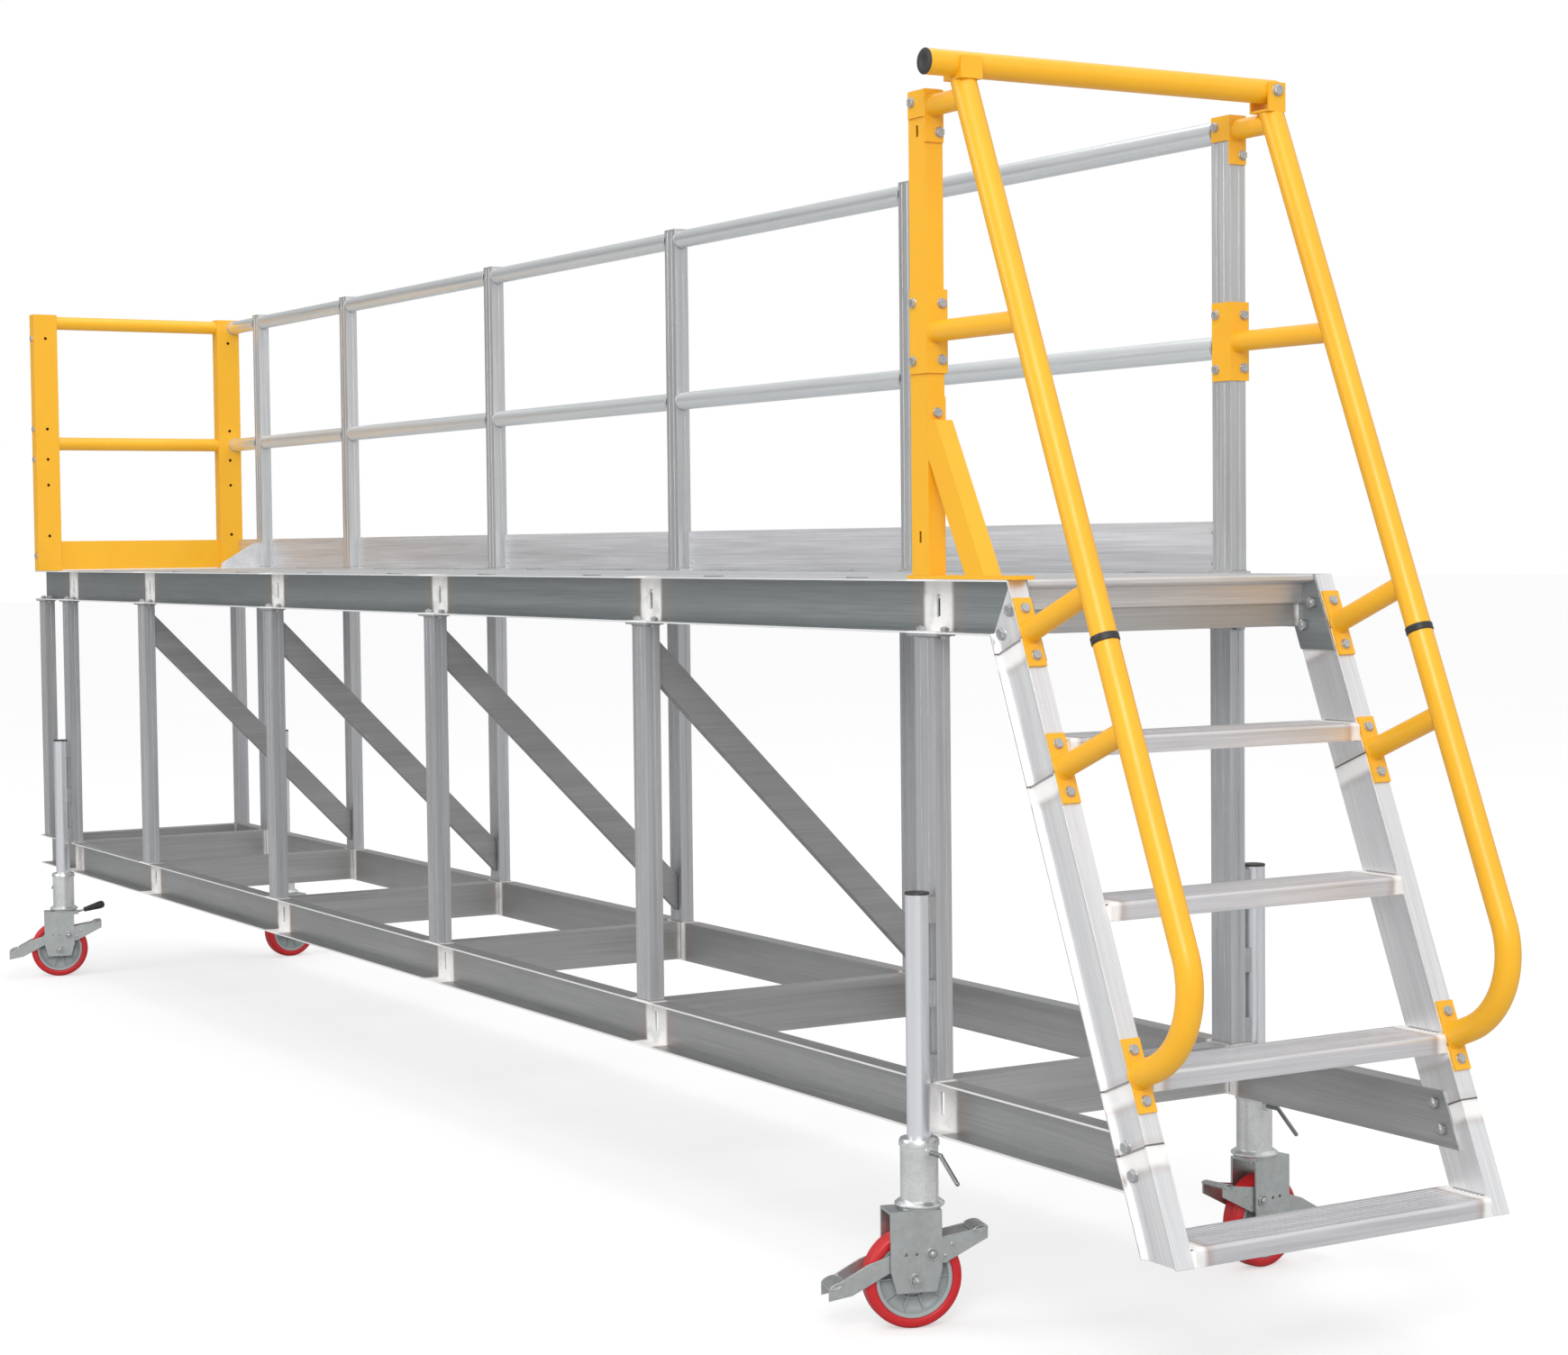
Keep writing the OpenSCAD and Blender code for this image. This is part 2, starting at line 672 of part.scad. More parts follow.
// Stub from the side of a post to the handrail
module post_stub(y0, z) {
  reach = rail_x(deck_h + z) - corner_face;
  difference() {
    translate([corner_face + wrap_t, y0 + hand_y, deck_h + z]) rotate([0, 90, 0]) difference() {
      cylinder(d = stub_d, h = reach);
      translate([0, 0, -1]) cylinder(d = stub_d - 6, h = reach + 2);
    }
    translate([0, y0 + hand_y, 0]) on_stair() translate([-1500, 0, hand_off]) rotate([0, 90, 0])
      cylinder(d = hand_d, h = 2000);
    translate([0, y0 + hand_y, 0]) on_stair() translate([-1500, -50, hand_off]) cube([2000, 100, 100]);
  }
}
module post_bracket(y0) {
  difference() {
    union() {
      translate([corner_x + 4, y0 - wrap_t, deck_h + guard_h - 48]) cube([post_w - 4 + wrap_t, wrap_t, 52]);
      translate([corner_face, y0 - wrap_t, deck_h + guard_h - 98]) cube([wrap_t, post_d + wrap_t, 102]);
    }
    bracket_holes(y0);
  }
  difference() {
    union() {
      translate([corner_x + 4, y0 - wrap_t, deck_h + mid_bracket_z - 82])
        cube([post_w - 4 + wrap_t, wrap_t, 164]);
      translate([corner_face, y0 - wrap_t, deck_h + mid_bracket_z - 82])
        cube([wrap_t, post_d + wrap_t + 6, 164]);
    }
    bracket_holes(y0);
  }
  post_stub(y0, top_stub_z);
  post_stub(y0, mid_bracket_z);
}
far_post_y = guard_y - post_d / 2;
module post_brackets() {
  color(yellow) placed() {
    post_bracket(0);
    post_bracket(far_post_y);
  }
}
module bracket_bolts() {
  color(steel) placed() {
    for (y0 = [0, far_post_y])
      at_bracket_bolts(y0) hex_bolt(bracket_bolt_d, wrap_t + 2, false);
    both_sides() translate([0, hand_y, 0]) on_stair()
      for (s = concat(stub_runs, [low_plate]), ds = [-plate_bolt, plate_bolt])
        translate([s + ds, 0, plate_t]) hex_bolt(bracket_bolt_d, plate_t, false);
  }
}

// ---- drop bar ----
bar_x = rail_x(bar_z) + 12;
bar_pivot_y = deck_w - hand_y - 5;
bar_near_end = -72;
cap_l = 36;
ear_t = 5;
ear_x = hand_d / 2 + seat_gap;
pivot_d = 12;
module bar_cradle() {
  translate([bar_x, hand_y - 25, bar_z]) rotate([-90, 0, 0]) difference() {
    translate([-hand_d / 2 - bar_gap - cradle_t, -12, 0])
      cube([hand_d + 2 * (bar_gap + cradle_t), 12 + hand_d / 2 + bar_gap + cradle_t, hand_d]);
    cylinder(d = hand_d + 2 * bar_gap, h = 200, center = true);
    translate([-hand_d / 2 - bar_gap, -40, -1]) cube([hand_d + 2 * bar_gap, 40, 52]);
  }
}
module bar_fork() {
  translate([bar_x, bar_pivot_y, bar_z]) difference() {
    union() {
      translate([-ear_x - ear_t, -22, -fork_drop - cradle_t]) cube([2 * (ear_x + ear_t), 44, cradle_t]);
      for (x = [-ear_x - ear_t, ear_x])
        translate([x, -22, -fork_drop - cradle_t]) cube([ear_t, 44, fork_drop + cradle_t + 16]);
    }
    rotate([0, 90, 0]) translate([0, 0, -60]) cylinder(d = pivot_d + 2 * run_gap, h = 120);
  }
}
module bar_brackets() {
  color(yellow) placed() {
    bar_cradle();
    bar_fork();
  }
}
module bar_pivot() {
  grip = 2 * (ear_x + ear_t);
  color(steel) placed() translate([bar_x + ear_x + ear_t, bar_pivot_y, bar_z]) rotate([0, 90, 0])
    hex_bolt(pivot_d, grip, true);
}
module drop_bar() {
  color(yellow) placed() translate([bar_x, 0, bar_z]) difference() {
    translate([0, bar_near_end + 4, 0]) rotate([-90, 0, 0]) difference() {
      cylinder(d = hand_d, h = bar_pivot_y + 18 - bar_near_end - 4);
      translate([0, 0, -1]) cylinder(d = hand_d - 2 * hand_wall, h = bar_pivot_y);
    }
    translate([-60, bar_pivot_y, 0]) rotate([0, 90, 0]) cylinder(d = pivot_d + 2 * run_gap, h = 120);
  }
}
module bar_end_cap() {
  color(black) placed() translate([bar_x, bar_near_end, bar_z]) rotate([-90, 0, 0]) {
    cylinder(d = hand_d + 1, h = 4);
    translate([0, 0, 4]) cylinder(d = hand_d - 2 * hand_wall, h = cap_l - 4);
  }
}

// ---- casters ----
tube_d = rail_d;
tube_y = -tube_d / 2 - 3;
tube_top = chassis_h + 373;
socket_top = chassis_bot - 5;
socket_d = 76;
socket_h = 120;
socket_bot = socket_top - socket_h;
socket_floor = 7;
flange_t = 12;
flange_d = 100;
swivel_z = socket_bot - flange_t;
race_t = 5;
fork_top_z = swivel_z - race_t;
kingpin_d = 16;
axle_z = wheel_d / 2;
screw_z = socket_top - 22;
screw_d = 10;
rear_x = caster_dx;
front_x = last + caster_dx;
axle_d = 12;
fork_gap = 62;
fork_t = 5;
fork_w = 106;
pin_x = 33;
pin_z = 51;
pin_d = 10;
arm_t = 3;
arm_y = fork_gap / 2 - 1.5 - arm_t;

// The casters turn freely: each one stands at its own angle about Z
turn_near = 74;
turn_far = -81;

module at_casters() {
  both_sides() for (x = [rear_x, front_x]) translate([x, tube_y, 0]) children();
}
module near_caster(x) { placed() translate([x, tube_y, 0]) rotate([0, 0, turn_near]) children(); }
module far_caster(x) { placed() translate([x, deck_w - tube_y, 0]) rotate([0, 0, turn_far]) children(); }

module caster_tubes() {
  color(mill) placed() at_casters() translate([0, 0, socket_bot + socket_floor]) difference() {
    cylinder(d = tube_d, h = tube_top - socket_bot - socket_floor);
    translate([0, 0, -1]) cylinder(d = tube_d - 2 * rail_wall, h = tube_top);
  }
}
module caster_tube_caps() {
  color(black) placed() at_casters() translate([0, 0, tube_top]) {
    cylinder(d = tube_d + 1, h = 5);
    translate([0, 0, -20]) cylinder(d = tube_d - 2 * rail_wall, h = 20.01);
  }
}
block_w = 30;
block_h = 52;
block_heights = [chassis_h + 1, chassis_h + 149, chassis_h + 315];
module caster_blocks() {
  color(steel) placed() at_casters() for (z = block_heights) difference() {
    translate([-block_w / 2, 0, z]) cube([block_w, leg_inset - tube_y, block_h]);
    translate([0, 0, z - 1]) cylinder(d = tube_d, h = block_h + 2);
  }
}
module caster_socket(side) {
  difference() {
    union() {
      translate([0, 0, socket_bot]) cylinder(d = socket_d, h = socket_h);
      translate([0, 0, swivel_z]) rotate_extrude()
        polygon([[0, 0], [flange_d / 2 - 3, 0], [flange_d / 2, 3], [flange_d / 2, 6],
                 [flange_d / 2 - 8, flange_t], [0, flange_t]]);
      translate([side * (socket_d / 2 - 1.5), 0, screw_z]) rotate([0, side * 90, 0]) hex_prism(19, 10);
    }
    translate([0, 0, socket_bot + socket_floor]) cylinder(d = tube_d + 2 * run_gap, h = socket_h);
    translate([0, 0, screw_z]) rotate([0, side * 90, 0]) cylinder(d = screw_d + 2 * run_gap, h = socket_d);
  }
  translate([0, 0, fork_top_z - 12]) cylinder(d = kingpin_d, h = race_t + 14);
  translate([0, 0, fork_top_z - 16]) hex_prism(24, 9.7);
}
module caster_sockets() {
  color(steel) placed() both_sides() {
    translate([rear_x, tube_y, 0]) caster_socket(-1);
    translate([front_x, tube_y, 0]) caster_socket(1);
  }
}

// Lock screw with a bent handle; it runs out from the socket wall along X
handle_d = 9;
handle_out = 30;
handle_drop = 45;
module lock_screw() {
  start = tube_d / 2 + seat_gap;
  bend_x = socket_d / 2 + 8.5 + handle_out;
  translate([start, 0, 0]) rotate([0, 90, 0]) cylinder(d = screw_d, h = bend_x - start);
  translate([bend_x, 0, 0]) sphere(d = screw_d);
  translate([bend_x, 0, 0]) rotate([0, 128, 0]) {
    cylinder(d = handle_d, h = handle_drop / cos(52));
    translate([0, 0, handle_drop / cos(52)]) sphere(d = handle_d);
  }
}
module lock_screw_at(x, y, side) {
  color(zinc) placed() translate([x, y, screw_z]) mirror([side < 0 ? 1 : 0, 0, 0]) lock_screw();
}
module lock_screw_rear_near() { lock_screw_at(rear_x, tube_y, -1); }
module lock_screw_rear_far() { lock_screw_at(rear_x, deck_w - tube_y, -1); }
module lock_screw_front_near() { lock_screw_at(front_x, tube_y, 1); }
module lock_screw_front_far() { lock_screw_at(front_x, deck_w - tube_y, 1); }

// Swivel lock on the rear casters: ears on the fork top carry a lever with a grip
lock_x = fork_w / 2 - trail;
lock_pin = [lock_x + 9, fork_top_z - 7];
lock_pin_d = 6;
eye_d = 13;
eye_w = 13.4;
ear_gap = eye_w + 2 * seat_gap;
ear_w = 4;

// Fork with its bearing race, axle, nuts and the two studs that carry the brake pedal
module fork(lock) {
  plate_low = axle_z - 24;
  difference() {
    union() {
      translate([-trail - fork_w / 2, -fork_gap / 2 - fork_t, fork_top_z - fork_t])
        cube([fork_w, fork_gap + 2 * fork_t, fork_t]);
      if (lock) {
        for (y = [-ear_gap / 2 - ear_w, ear_gap / 2])
          translate([lock_x - 5, y, lock_pin[1] - 7]) cube([21, ear_w, 14]);
        translate([lock_pin[0], 0, lock_pin[1]]) rotate([90, 0, 0])
          cylinder(d = lock_pin_d, h = ear_gap + 2 * ear_w + 4, center = true);
      }
      for (y = [-fork_gap / 2 - fork_t, fork_gap / 2])
        side_plate([[-trail - fork_w / 2, fork_top_z], [-trail + fork_w / 2, fork_top_z],
                    [-trail + fork_w / 2, axle_z + 20], [-trail + fork_w / 2 - 12, plate_low],
                    [-trail - fork_w / 2 + 12, plate_low], [-trail - fork_w / 2, axle_z + 20]], y, fork_t);
      translate([0, 0, fork_top_z]) difference() {
        cylinder(d = 84, h = race_t - seat_gap);
        translate([0, 0, -1]) cylinder(d = 60, h = race_t + 2);
      }
    }
    translate([0, 0, fork_top_z - fork_t - 1]) cylinder(d = kingpin_d + 2 * run_gap, h = fork_t + 2);
    for (x = [-22, 0]) translate([-trail + x, 0, axle_z + 52]) rotate([90, 0, 0])
      cylinder(d = 7, h = fork_gap + 2 * fork_t + 2, center = true);
  }
  translate([-trail, 0, axle_z]) rotate([90, 0, 0]) {
    cylinder(d = axle_d, h = fork_gap + 2 * fork_t + 22, center = true);
    for (s = [-1, 1]) mirror([0, 0, s < 0 ? 1 : 0]) translate([0, 0, fork_gap / 2 + fork_t]) hex_prism(19, 8);
  }
  for (s = [-1, 1]) mirror([0, s < 0 ? 1 : 0, 0])
    translate([-trail + pin_x, fork_gap / 2 + fork_t + 4, axle_z + pin_z]) rotate([90, 0, 0]) {
      cylinder(d = pin_d, h = fork_t + 4 + 1.5 + arm_t);
      hex_prism(15, 4);
    }
}
module fork_rear_near() { color(zinc) near_caster(rear_x) fork(true); }
module fork_rear_far() { color(zinc) far_caster(rear_x) fork(true); }
module fork_front_near() { color(zinc) near_caster(front_x) fork(false); }
module fork_front_far() { color(zinc) far_caster(front_x) fork(false); }

// Wheel: a ribbed hub in a tyre, turning on the axle
rim_r = wheel_d / 2 - 21;
hub_r = 17;
module hub() {
  boss = fork_gap / 2 - seat_gap;
  half = tyre_w / 2 - 3;
  translate([-trail, 0, axle_z]) rotate([90, 0, 0]) difference() {
    union() {
      rotate_extrude() polygon([[0, -boss], [hub_r, -boss], [hub_r, -5], [rim_r - 9, -5], [rim_r - 6, -half],
                                [rim_r, -half], [rim_r, half], [rim_r - 6, half], [rim_r - 9, 5], [hub_r, 5],
                                [hub_r, boss], [0, boss]]);
      for (k = [0 : 7]) rotate([0, 0, 45 * k]) translate([hub_r - 3, -2, -half + 6])
        cube([rim_r - hub_r - 3, 4, 2 * half - 12]);
    }
    cylinder(d = axle_d + 2 * run_gap, h = 2 * boss + 2, center = true);
  }
}
module tyre() {
  r = wheel_d / 2;
  half = tyre_w / 2;
  translate([-trail, 0, axle_z]) rotate([90, 0, 0]) rotate_extrude($fn = 96)
    polygon([[rim_r, -half + 3], [rim_r + 3, -half], [r - 9, -half], [r - 3, -half + 4], [r, -half + 12],
             [r, half - 12], [r - 3, half - 4], [r - 9, half], [rim_r + 3, half], [rim_r, half - 3]]);
}
module hub_rear_near() { color(hub_grey) near_caster(rear_x) hub(); }
module hub_rear_far() { color(hub_grey) far_caster(rear_x) hub(); }
module hub_front_near() { color(hub_grey) near_caster(front_x) hub(); }
module hub_front_far() { color(hub_grey) far_caster(front_x) hub(); }
module tyre_rear_near() { color(red) near_caster(rear_x) tyre(); }
module tyre_rear_far() { color(red) far_caster(rear_x) tyre(); }
module tyre_front_near() { color(red) near_caster(front_x) tyre(); }
module tyre_front_far() { color(red) far_caster(front_x) tyre(); }

// Rocking brake pedal: an arm on each side of the wheel, joined by a pad at each end
module pedal() {
  reach = wheel_d / 2 + 50;
  low = reach + 28;
  arm = [[-low, -30], [-low, -6], [-reach + 50, 36], [20, 76], [reach, 98], [reach, 74], [62, 30], [-24, 32],
         [-reach + 20, -22]];
  pad_w = 2 * (arm_y + arm_t);
  translate([-trail, 0, axle_z]) {
    for (y = [-arm_y - arm_t, arm_y]) difference() {
      side_plate(arm, y, arm_t);
      translate([pin_x, y - 1, pin_z]) rotate([-90, 0, 0]) cylinder(d = pin_d + 2 * run_gap, h = arm_t + 2);
    }
    side_plate([[reach - 34, 91.3], [reach, 98], [reach, 95], [reach - 34, 88.3]], -pad_w / 2, pad_w);
    side_plate([[-low, -6], [-low + 34, 7.9], [-low + 34, 4.9], [-low, -9]], -pad_w / 2, pad_w);
  }
}
module pedal_rear_near() { color(zinc) near_caster(rear_x) pedal(); }
module pedal_rear_far() { color(zinc) far_caster(rear_x) pedal(); }
module pedal_front_near() { color(zinc) near_caster(front_x) pedal(); }
module pedal_front_far() { color(zinc) far_caster(front_x) pedal(); }

lock_rise = 15;                                     // slope of the lever at rest
lock_arm = 34;
grip_l = 60;
grip_d = [14, 20];
module swivel_lock() {
  translate([lock_pin[0], 0, lock_pin[1]]) difference() {
    union() {
      rotate([90, 0, 0]) cylinder(d = eye_d, h = eye_w, center = true);
      rotate([0, 90 - lock_rise, 0]) {
        cylinder(d = 8, h = lock_arm + 1);
        translate([0, 0, lock_arm]) cylinder(d1 = grip_d[0], d2 = grip_d[1], h = grip_l);
        translate([0, 0, lock_arm + grip_l]) sphere(d = grip_d[1]);
      }
    }
    rotate([90, 0, 0]) cylinder(d = lock_pin_d + 2 * run_gap, h = eye_w + 2, center = true);
  }
}
module swivel_lock_near() { color(black) near_caster(rear_x) swivel_lock(); }
module swivel_lock_far() { color(black) far_caster(rear_x) swivel_lock(); }

deck_beams();
deck_cross_beams();
deck_planks();
deck_nosing();
deck_clips();
chassis_beams();
chassis_cross_beams();
legs();
leg_plates();
leg_bolts();
sway_braces();
guard_posts();
guard_rails();
guard_kick_plate();
end_posts();
end_rails();
end_kick_plate();
end_stay();
corner_post();
corner_strut();
guard_bolts();
stair_stiles();
stair_treads();
stair_bolts();
handrails_upper();
handrails_lower();
handrail_rings();
post_brackets();
stile_brackets();
bracket_bolts();
bar_brackets();
bar_pivot();
drop_bar();
bar_end_cap();
caster_tubes();
caster_tube_caps();
caster_blocks();
caster_sockets();
lock_screw_rear_near();
lock_screw_rear_far();
lock_screw_front_near();
lock_screw_front_far();
fork_rear_near();
fork_rear_far();
fork_front_near();
fork_front_far();
hub_rear_near();
hub_rear_far();
hub_front_near();
hub_front_far();
tyre_rear_near();
tyre_rear_far();
tyre_front_near();
tyre_front_far();
pedal_rear_near();
pedal_rear_far();
pedal_front_near();
pedal_front_far();
swivel_lock_near();
swivel_lock_far();
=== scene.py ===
"""Looks of a mobile access platform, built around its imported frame.

Every metal, painted, plastic and rubber surface gets a procedural finish, and the pieces that a
fabricator adds by hand or buys in, such as weld beads, fasteners, wheels, rings, caps and grips,
are modelled in full around the frame.
"""

import json
import logging
import math
from dataclasses import dataclass, field
from enum import Enum
from typing import ClassVar

import bpy
from mathutils import Matrix, Vector

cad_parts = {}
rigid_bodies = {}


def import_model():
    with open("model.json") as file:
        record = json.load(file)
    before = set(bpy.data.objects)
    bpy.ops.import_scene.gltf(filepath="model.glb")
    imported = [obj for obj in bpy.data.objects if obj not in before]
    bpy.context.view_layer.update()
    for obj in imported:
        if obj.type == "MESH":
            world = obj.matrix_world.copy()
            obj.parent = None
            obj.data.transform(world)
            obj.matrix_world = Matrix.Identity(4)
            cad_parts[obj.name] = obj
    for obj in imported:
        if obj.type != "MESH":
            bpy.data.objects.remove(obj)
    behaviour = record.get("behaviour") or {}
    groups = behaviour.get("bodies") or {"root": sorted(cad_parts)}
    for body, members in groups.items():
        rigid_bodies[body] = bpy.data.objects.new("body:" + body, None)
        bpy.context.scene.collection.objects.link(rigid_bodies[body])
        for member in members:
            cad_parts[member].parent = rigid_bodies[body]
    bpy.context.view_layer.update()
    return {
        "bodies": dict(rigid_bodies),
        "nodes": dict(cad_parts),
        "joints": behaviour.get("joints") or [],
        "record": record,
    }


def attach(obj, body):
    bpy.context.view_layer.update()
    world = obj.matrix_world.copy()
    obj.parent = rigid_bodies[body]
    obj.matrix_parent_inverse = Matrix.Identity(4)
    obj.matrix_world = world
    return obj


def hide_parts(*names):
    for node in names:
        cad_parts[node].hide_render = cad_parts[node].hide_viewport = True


LOG = logging.getLogger("platform")
MM = 0.001
AHEAD = Vector((1, 0, 0))
QUARTER = math.radians(90)
ALONG_X = (0.015, 1.0, 1.0)
ALONG_Y = (1.0, 0.015, 1.0)
ALONG_Z = (1.0, 1.0, 0.015)


# ---------------------------------------------------------------- shader building blocks


class Graph:
    """A node tree with a short way to add nodes and links."""

    def __init__(self, tree: bpy.types.NodeTree) -> None:
        """Keep the tree that nodes are added to.

        Args:
            tree: the material's or group's node tree.
        """
        self.tree = tree

    def node(self, kind: str, sockets: dict | None = None, **settings: object) -> bpy.types.Node:
        """Add a node, set its properties, and set or link its inputs.

        Args:
            kind: the node's type name without the ShaderNode prefix.
            sockets: input name or index to a value, or to an output socket to link.
            **settings: properties of the node.

        Returns:
            The new node.
        """
        made = self.tree.nodes.new("ShaderNode" + kind)
        for key, value in settings.items():
            setattr(made, key, value)
        for key, value in (sockets or {}).items():
            if isinstance(value, bpy.types.NodeSocket):
                self.tree.links.new(value, made.inputs[key])
            else:
                made.inputs[key].default_value = value
        return made

    def math(self, operation: str, first: object, second: object = 0.0,
             clamp: bool = False) -> bpy.types.NodeSocket:
        """Add a Math node.

        Args:
            operation: the node's operation.
            first: a value or an output socket.
            second: a value or an output socket.
            clamp: limit the result to 0..1.

        Returns:
            The node's result.
        """
        return self.node("Math", {0: first, 1: second}, operation=operation, use_clamp=clamp).outputs[0]

    def mix(self, factor: object, low: object, high: object) -> bpy.types.NodeSocket:
        """Mix two colours.

        Args:
            factor: a value or socket, 0 for the first colour.
            low: the first colour or socket.
            high: the second colour or socket.

        Returns:
            The mixed colour.
        """
        made = self.node("Mix", data_type="RGBA")
        for index, value in ((0, factor), (6, low), (7, high)):
            if isinstance(value, bpy.types.NodeSocket):
                self.tree.links.new(value, made.inputs[index])
            else:
                made.inputs[index].default_value = value
        return made.outputs[2]

    def spread(self, value: object, low: float, high: float, to_low: float,
               to_high: float) -> bpy.types.NodeSocket:
        """Map a range onto another, clamped.

        Args:
            value: the socket to map.
            low: start of the input range.
            high: end of the input range.
            to_low: output at the start.
            to_high: output at the end.

        Returns:
            The mapped value.
        """
        sockets = {0: value, 1: low, 2: high, 3: to_low, 4: to_high}
        return self.node("MapRange", sockets).outputs[0]


def new_group(name: str, inputs: dict[str, tuple[str, object]],
              outputs: dict[str, str]) -> tuple[Graph, dict, bpy.types.Node]:
    """Make an empty shader node group.

    Args:
        name: the group's name.
        inputs: socket name to its type and default.
        outputs: socket name to its type.

    Returns:
        The group's graph, its input sockets by name and its output node.
    """
    tree = bpy.data.node_groups.new(name, "ShaderNodeTree")
    for key, (kind, default) in inputs.items():
        socket = tree.interface.new_socket(key, in_out="INPUT", socket_type="NodeSocket" + kind)
        socket.default_value = default
    for key, kind in outputs.items():
        tree.interface.new_socket(key, in_out="OUTPUT", socket_type="NodeSocket" + kind)
    source = tree.nodes.new("NodeGroupInput")
    return Graph(tree), {s.name: s for s in source.outputs}, tree.nodes.new("NodeGroupOutput")


class Effects:
    """The shader node groups that several finishes share, each built once."""

    def __init__(self) -> None:
        """Build all groups."""
        self.edge = self.build_edge()
        self.drawn = self.build_drawn()
        self.stain = self.build_stain()
        self.band = self.build_band()

    def build_edge(self) -> bpy.types.NodeTree:
        """Group that rounds sharp edges and puts a worn mask along them.

        Returns:
            The node tree, with outputs Normal and Worn.
        """
        inputs = {"Radius": ("Float", 0.0015), "Patchiness": ("Float", 60.0)}
        graph, given, end = new_group("edge_wear", inputs, {"Normal": "Vector", "Worn": "Float"})
        bevel = graph.node("Bevel", {"Radius": given["Radius"]}, samples=4)
        geometry = graph.node("NewGeometry")
        dot = graph.node("VectorMath", {0: bevel.outputs[0], 1: geometry.outputs["True Normal"]},
                         operation="DOT_PRODUCT").outputs["Value"]
        place = graph.node("TexCoord").outputs["Object"]
        noise = graph.node("TexNoise", {"Vector": place, "Scale": given["Patchiness"],
                                        "Detail": 4.0}).outputs[0]
        edge = graph.spread(dot, 0.985, 0.86, 0.0, 1.0)
        worn = graph.math("MULTIPLY", edge, graph.spread(noise, 0.42, 0.62, 0.0, 1.0))
        graph.tree.links.new(bevel.outputs[0], end.inputs["Normal"])
        graph.tree.links.new(worn, end.inputs["Worn"])
        return graph.tree

    def build_drawn(self) -> bpy.types.NodeTree:
        """Group for the fine lines that a die leaves along an extrusion.

        Returns:
            The node tree, with outputs Tone and Height.
        """
        inputs = {"Vector": ("Vector", (0, 0, 0)), "Lines": ("Float", 300.0)}
        graph, given, end = new_group("drawn_lines", inputs, {"Tone": "Float", "Height": "Float"})
        fine = graph.node("TexNoise", {"Vector": given["Vector"], "Scale": given["Lines"], "Detail": 3.0,
                                       "Roughness": 0.6}).outputs[0]
        broad = graph.math("DIVIDE", given["Lines"], 9.0)
        wide = graph.node("TexNoise", {"Vector": given["Vector"], "Scale": broad, "Detail": 2.0}).outputs[0]
        tone = graph.math("ADD", graph.math("MULTIPLY", fine, 0.55), graph.math("MULTIPLY", wide, 0.45))
        graph.tree.links.new(tone, end.inputs["Tone"])
        graph.tree.links.new(fine, end.inputs["Height"])
        return graph.tree

    def build_stain(self) -> bpy.types.NodeTree:
        """Group for cloudy handling marks with small specks in them.

        Returns:
            The node tree, with outputs Cloud and Specks.
        """
        inputs = {"Vector": ("Vector", (0, 0, 0)), "Size": ("Float", 3.0)}
        graph, given, end = new_group("handling_marks", inputs, {"Cloud": "Float", "Specks": "Float"})
        cloud = graph.node("TexNoise", {"Vector": given["Vector"], "Scale": given["Size"], "Detail": 6.0,
                                        "Roughness": 0.65, "Distortion": 0.4}).outputs[0]
        small = graph.math("MULTIPLY", given["Size"], 42.0)
        cells = graph.node("TexVoronoi", {"Vector": given["Vector"], "Scale": small}).outputs["Distance"]
        specks = graph.math("MULTIPLY", graph.spread(cells, 0.16, 0.06, 0.0, 1.0),
                            graph.spread(cloud, 0.5, 0.62, 0.0, 1.0))
        graph.tree.links.new(graph.spread(cloud, 0.32, 0.68, 0.0, 1.0), end.inputs["Cloud"])
        graph.tree.links.new(specks, end.inputs["Specks"])
        return graph.tree

    def build_band(self) -> bpy.types.NodeTree:
        """Group for a soft-edged band around one place on a line.

        Returns:
            The node tree, with outputs Band and Rim.
        """
        graph, given, end = new_group("band", {"Along": ("Float", 0.0), "Place": ("Float", 0.0),
                                               "Half": ("Float", 0.05), "Soft": ("Float", 0.006)},
                                      {"Band": "Float", "Rim": "Float"})
        away = graph.math("ABSOLUTE", graph.math("SUBTRACT", given["Along"], given["Place"]))
        outer = graph.math("ADD", given["Half"], given["Soft"])
        inner = graph.math("SUBTRACT", given["Half"], given["Soft"])
        band = graph.node("MapRange", {0: away, 1: inner, 2: outer, 3: 1.0, 4: 0.0}).outputs[0]
        far = graph.math("MULTIPLY", given["Half"], 2.2)
        rim = graph.node("MapRange", {0: away, 1: given["Half"], 2: far, 3: 1.0, 4: 0.0}).outputs[0]
        graph.tree.links.new(band, end.inputs["Band"])
        graph.tree.links.new(graph.math("SUBTRACT", rim, band, True), end.inputs["Rim"])
        return graph.tree


def tinted(colour: tuple[float, float, float]) -> tuple[float, float, float, float]:
    """Add full alpha to a colour.

    Args:
        colour: red, green and blue.

    Returns:
        The colour with its alpha.
    """
    return (*colour, 1.0)


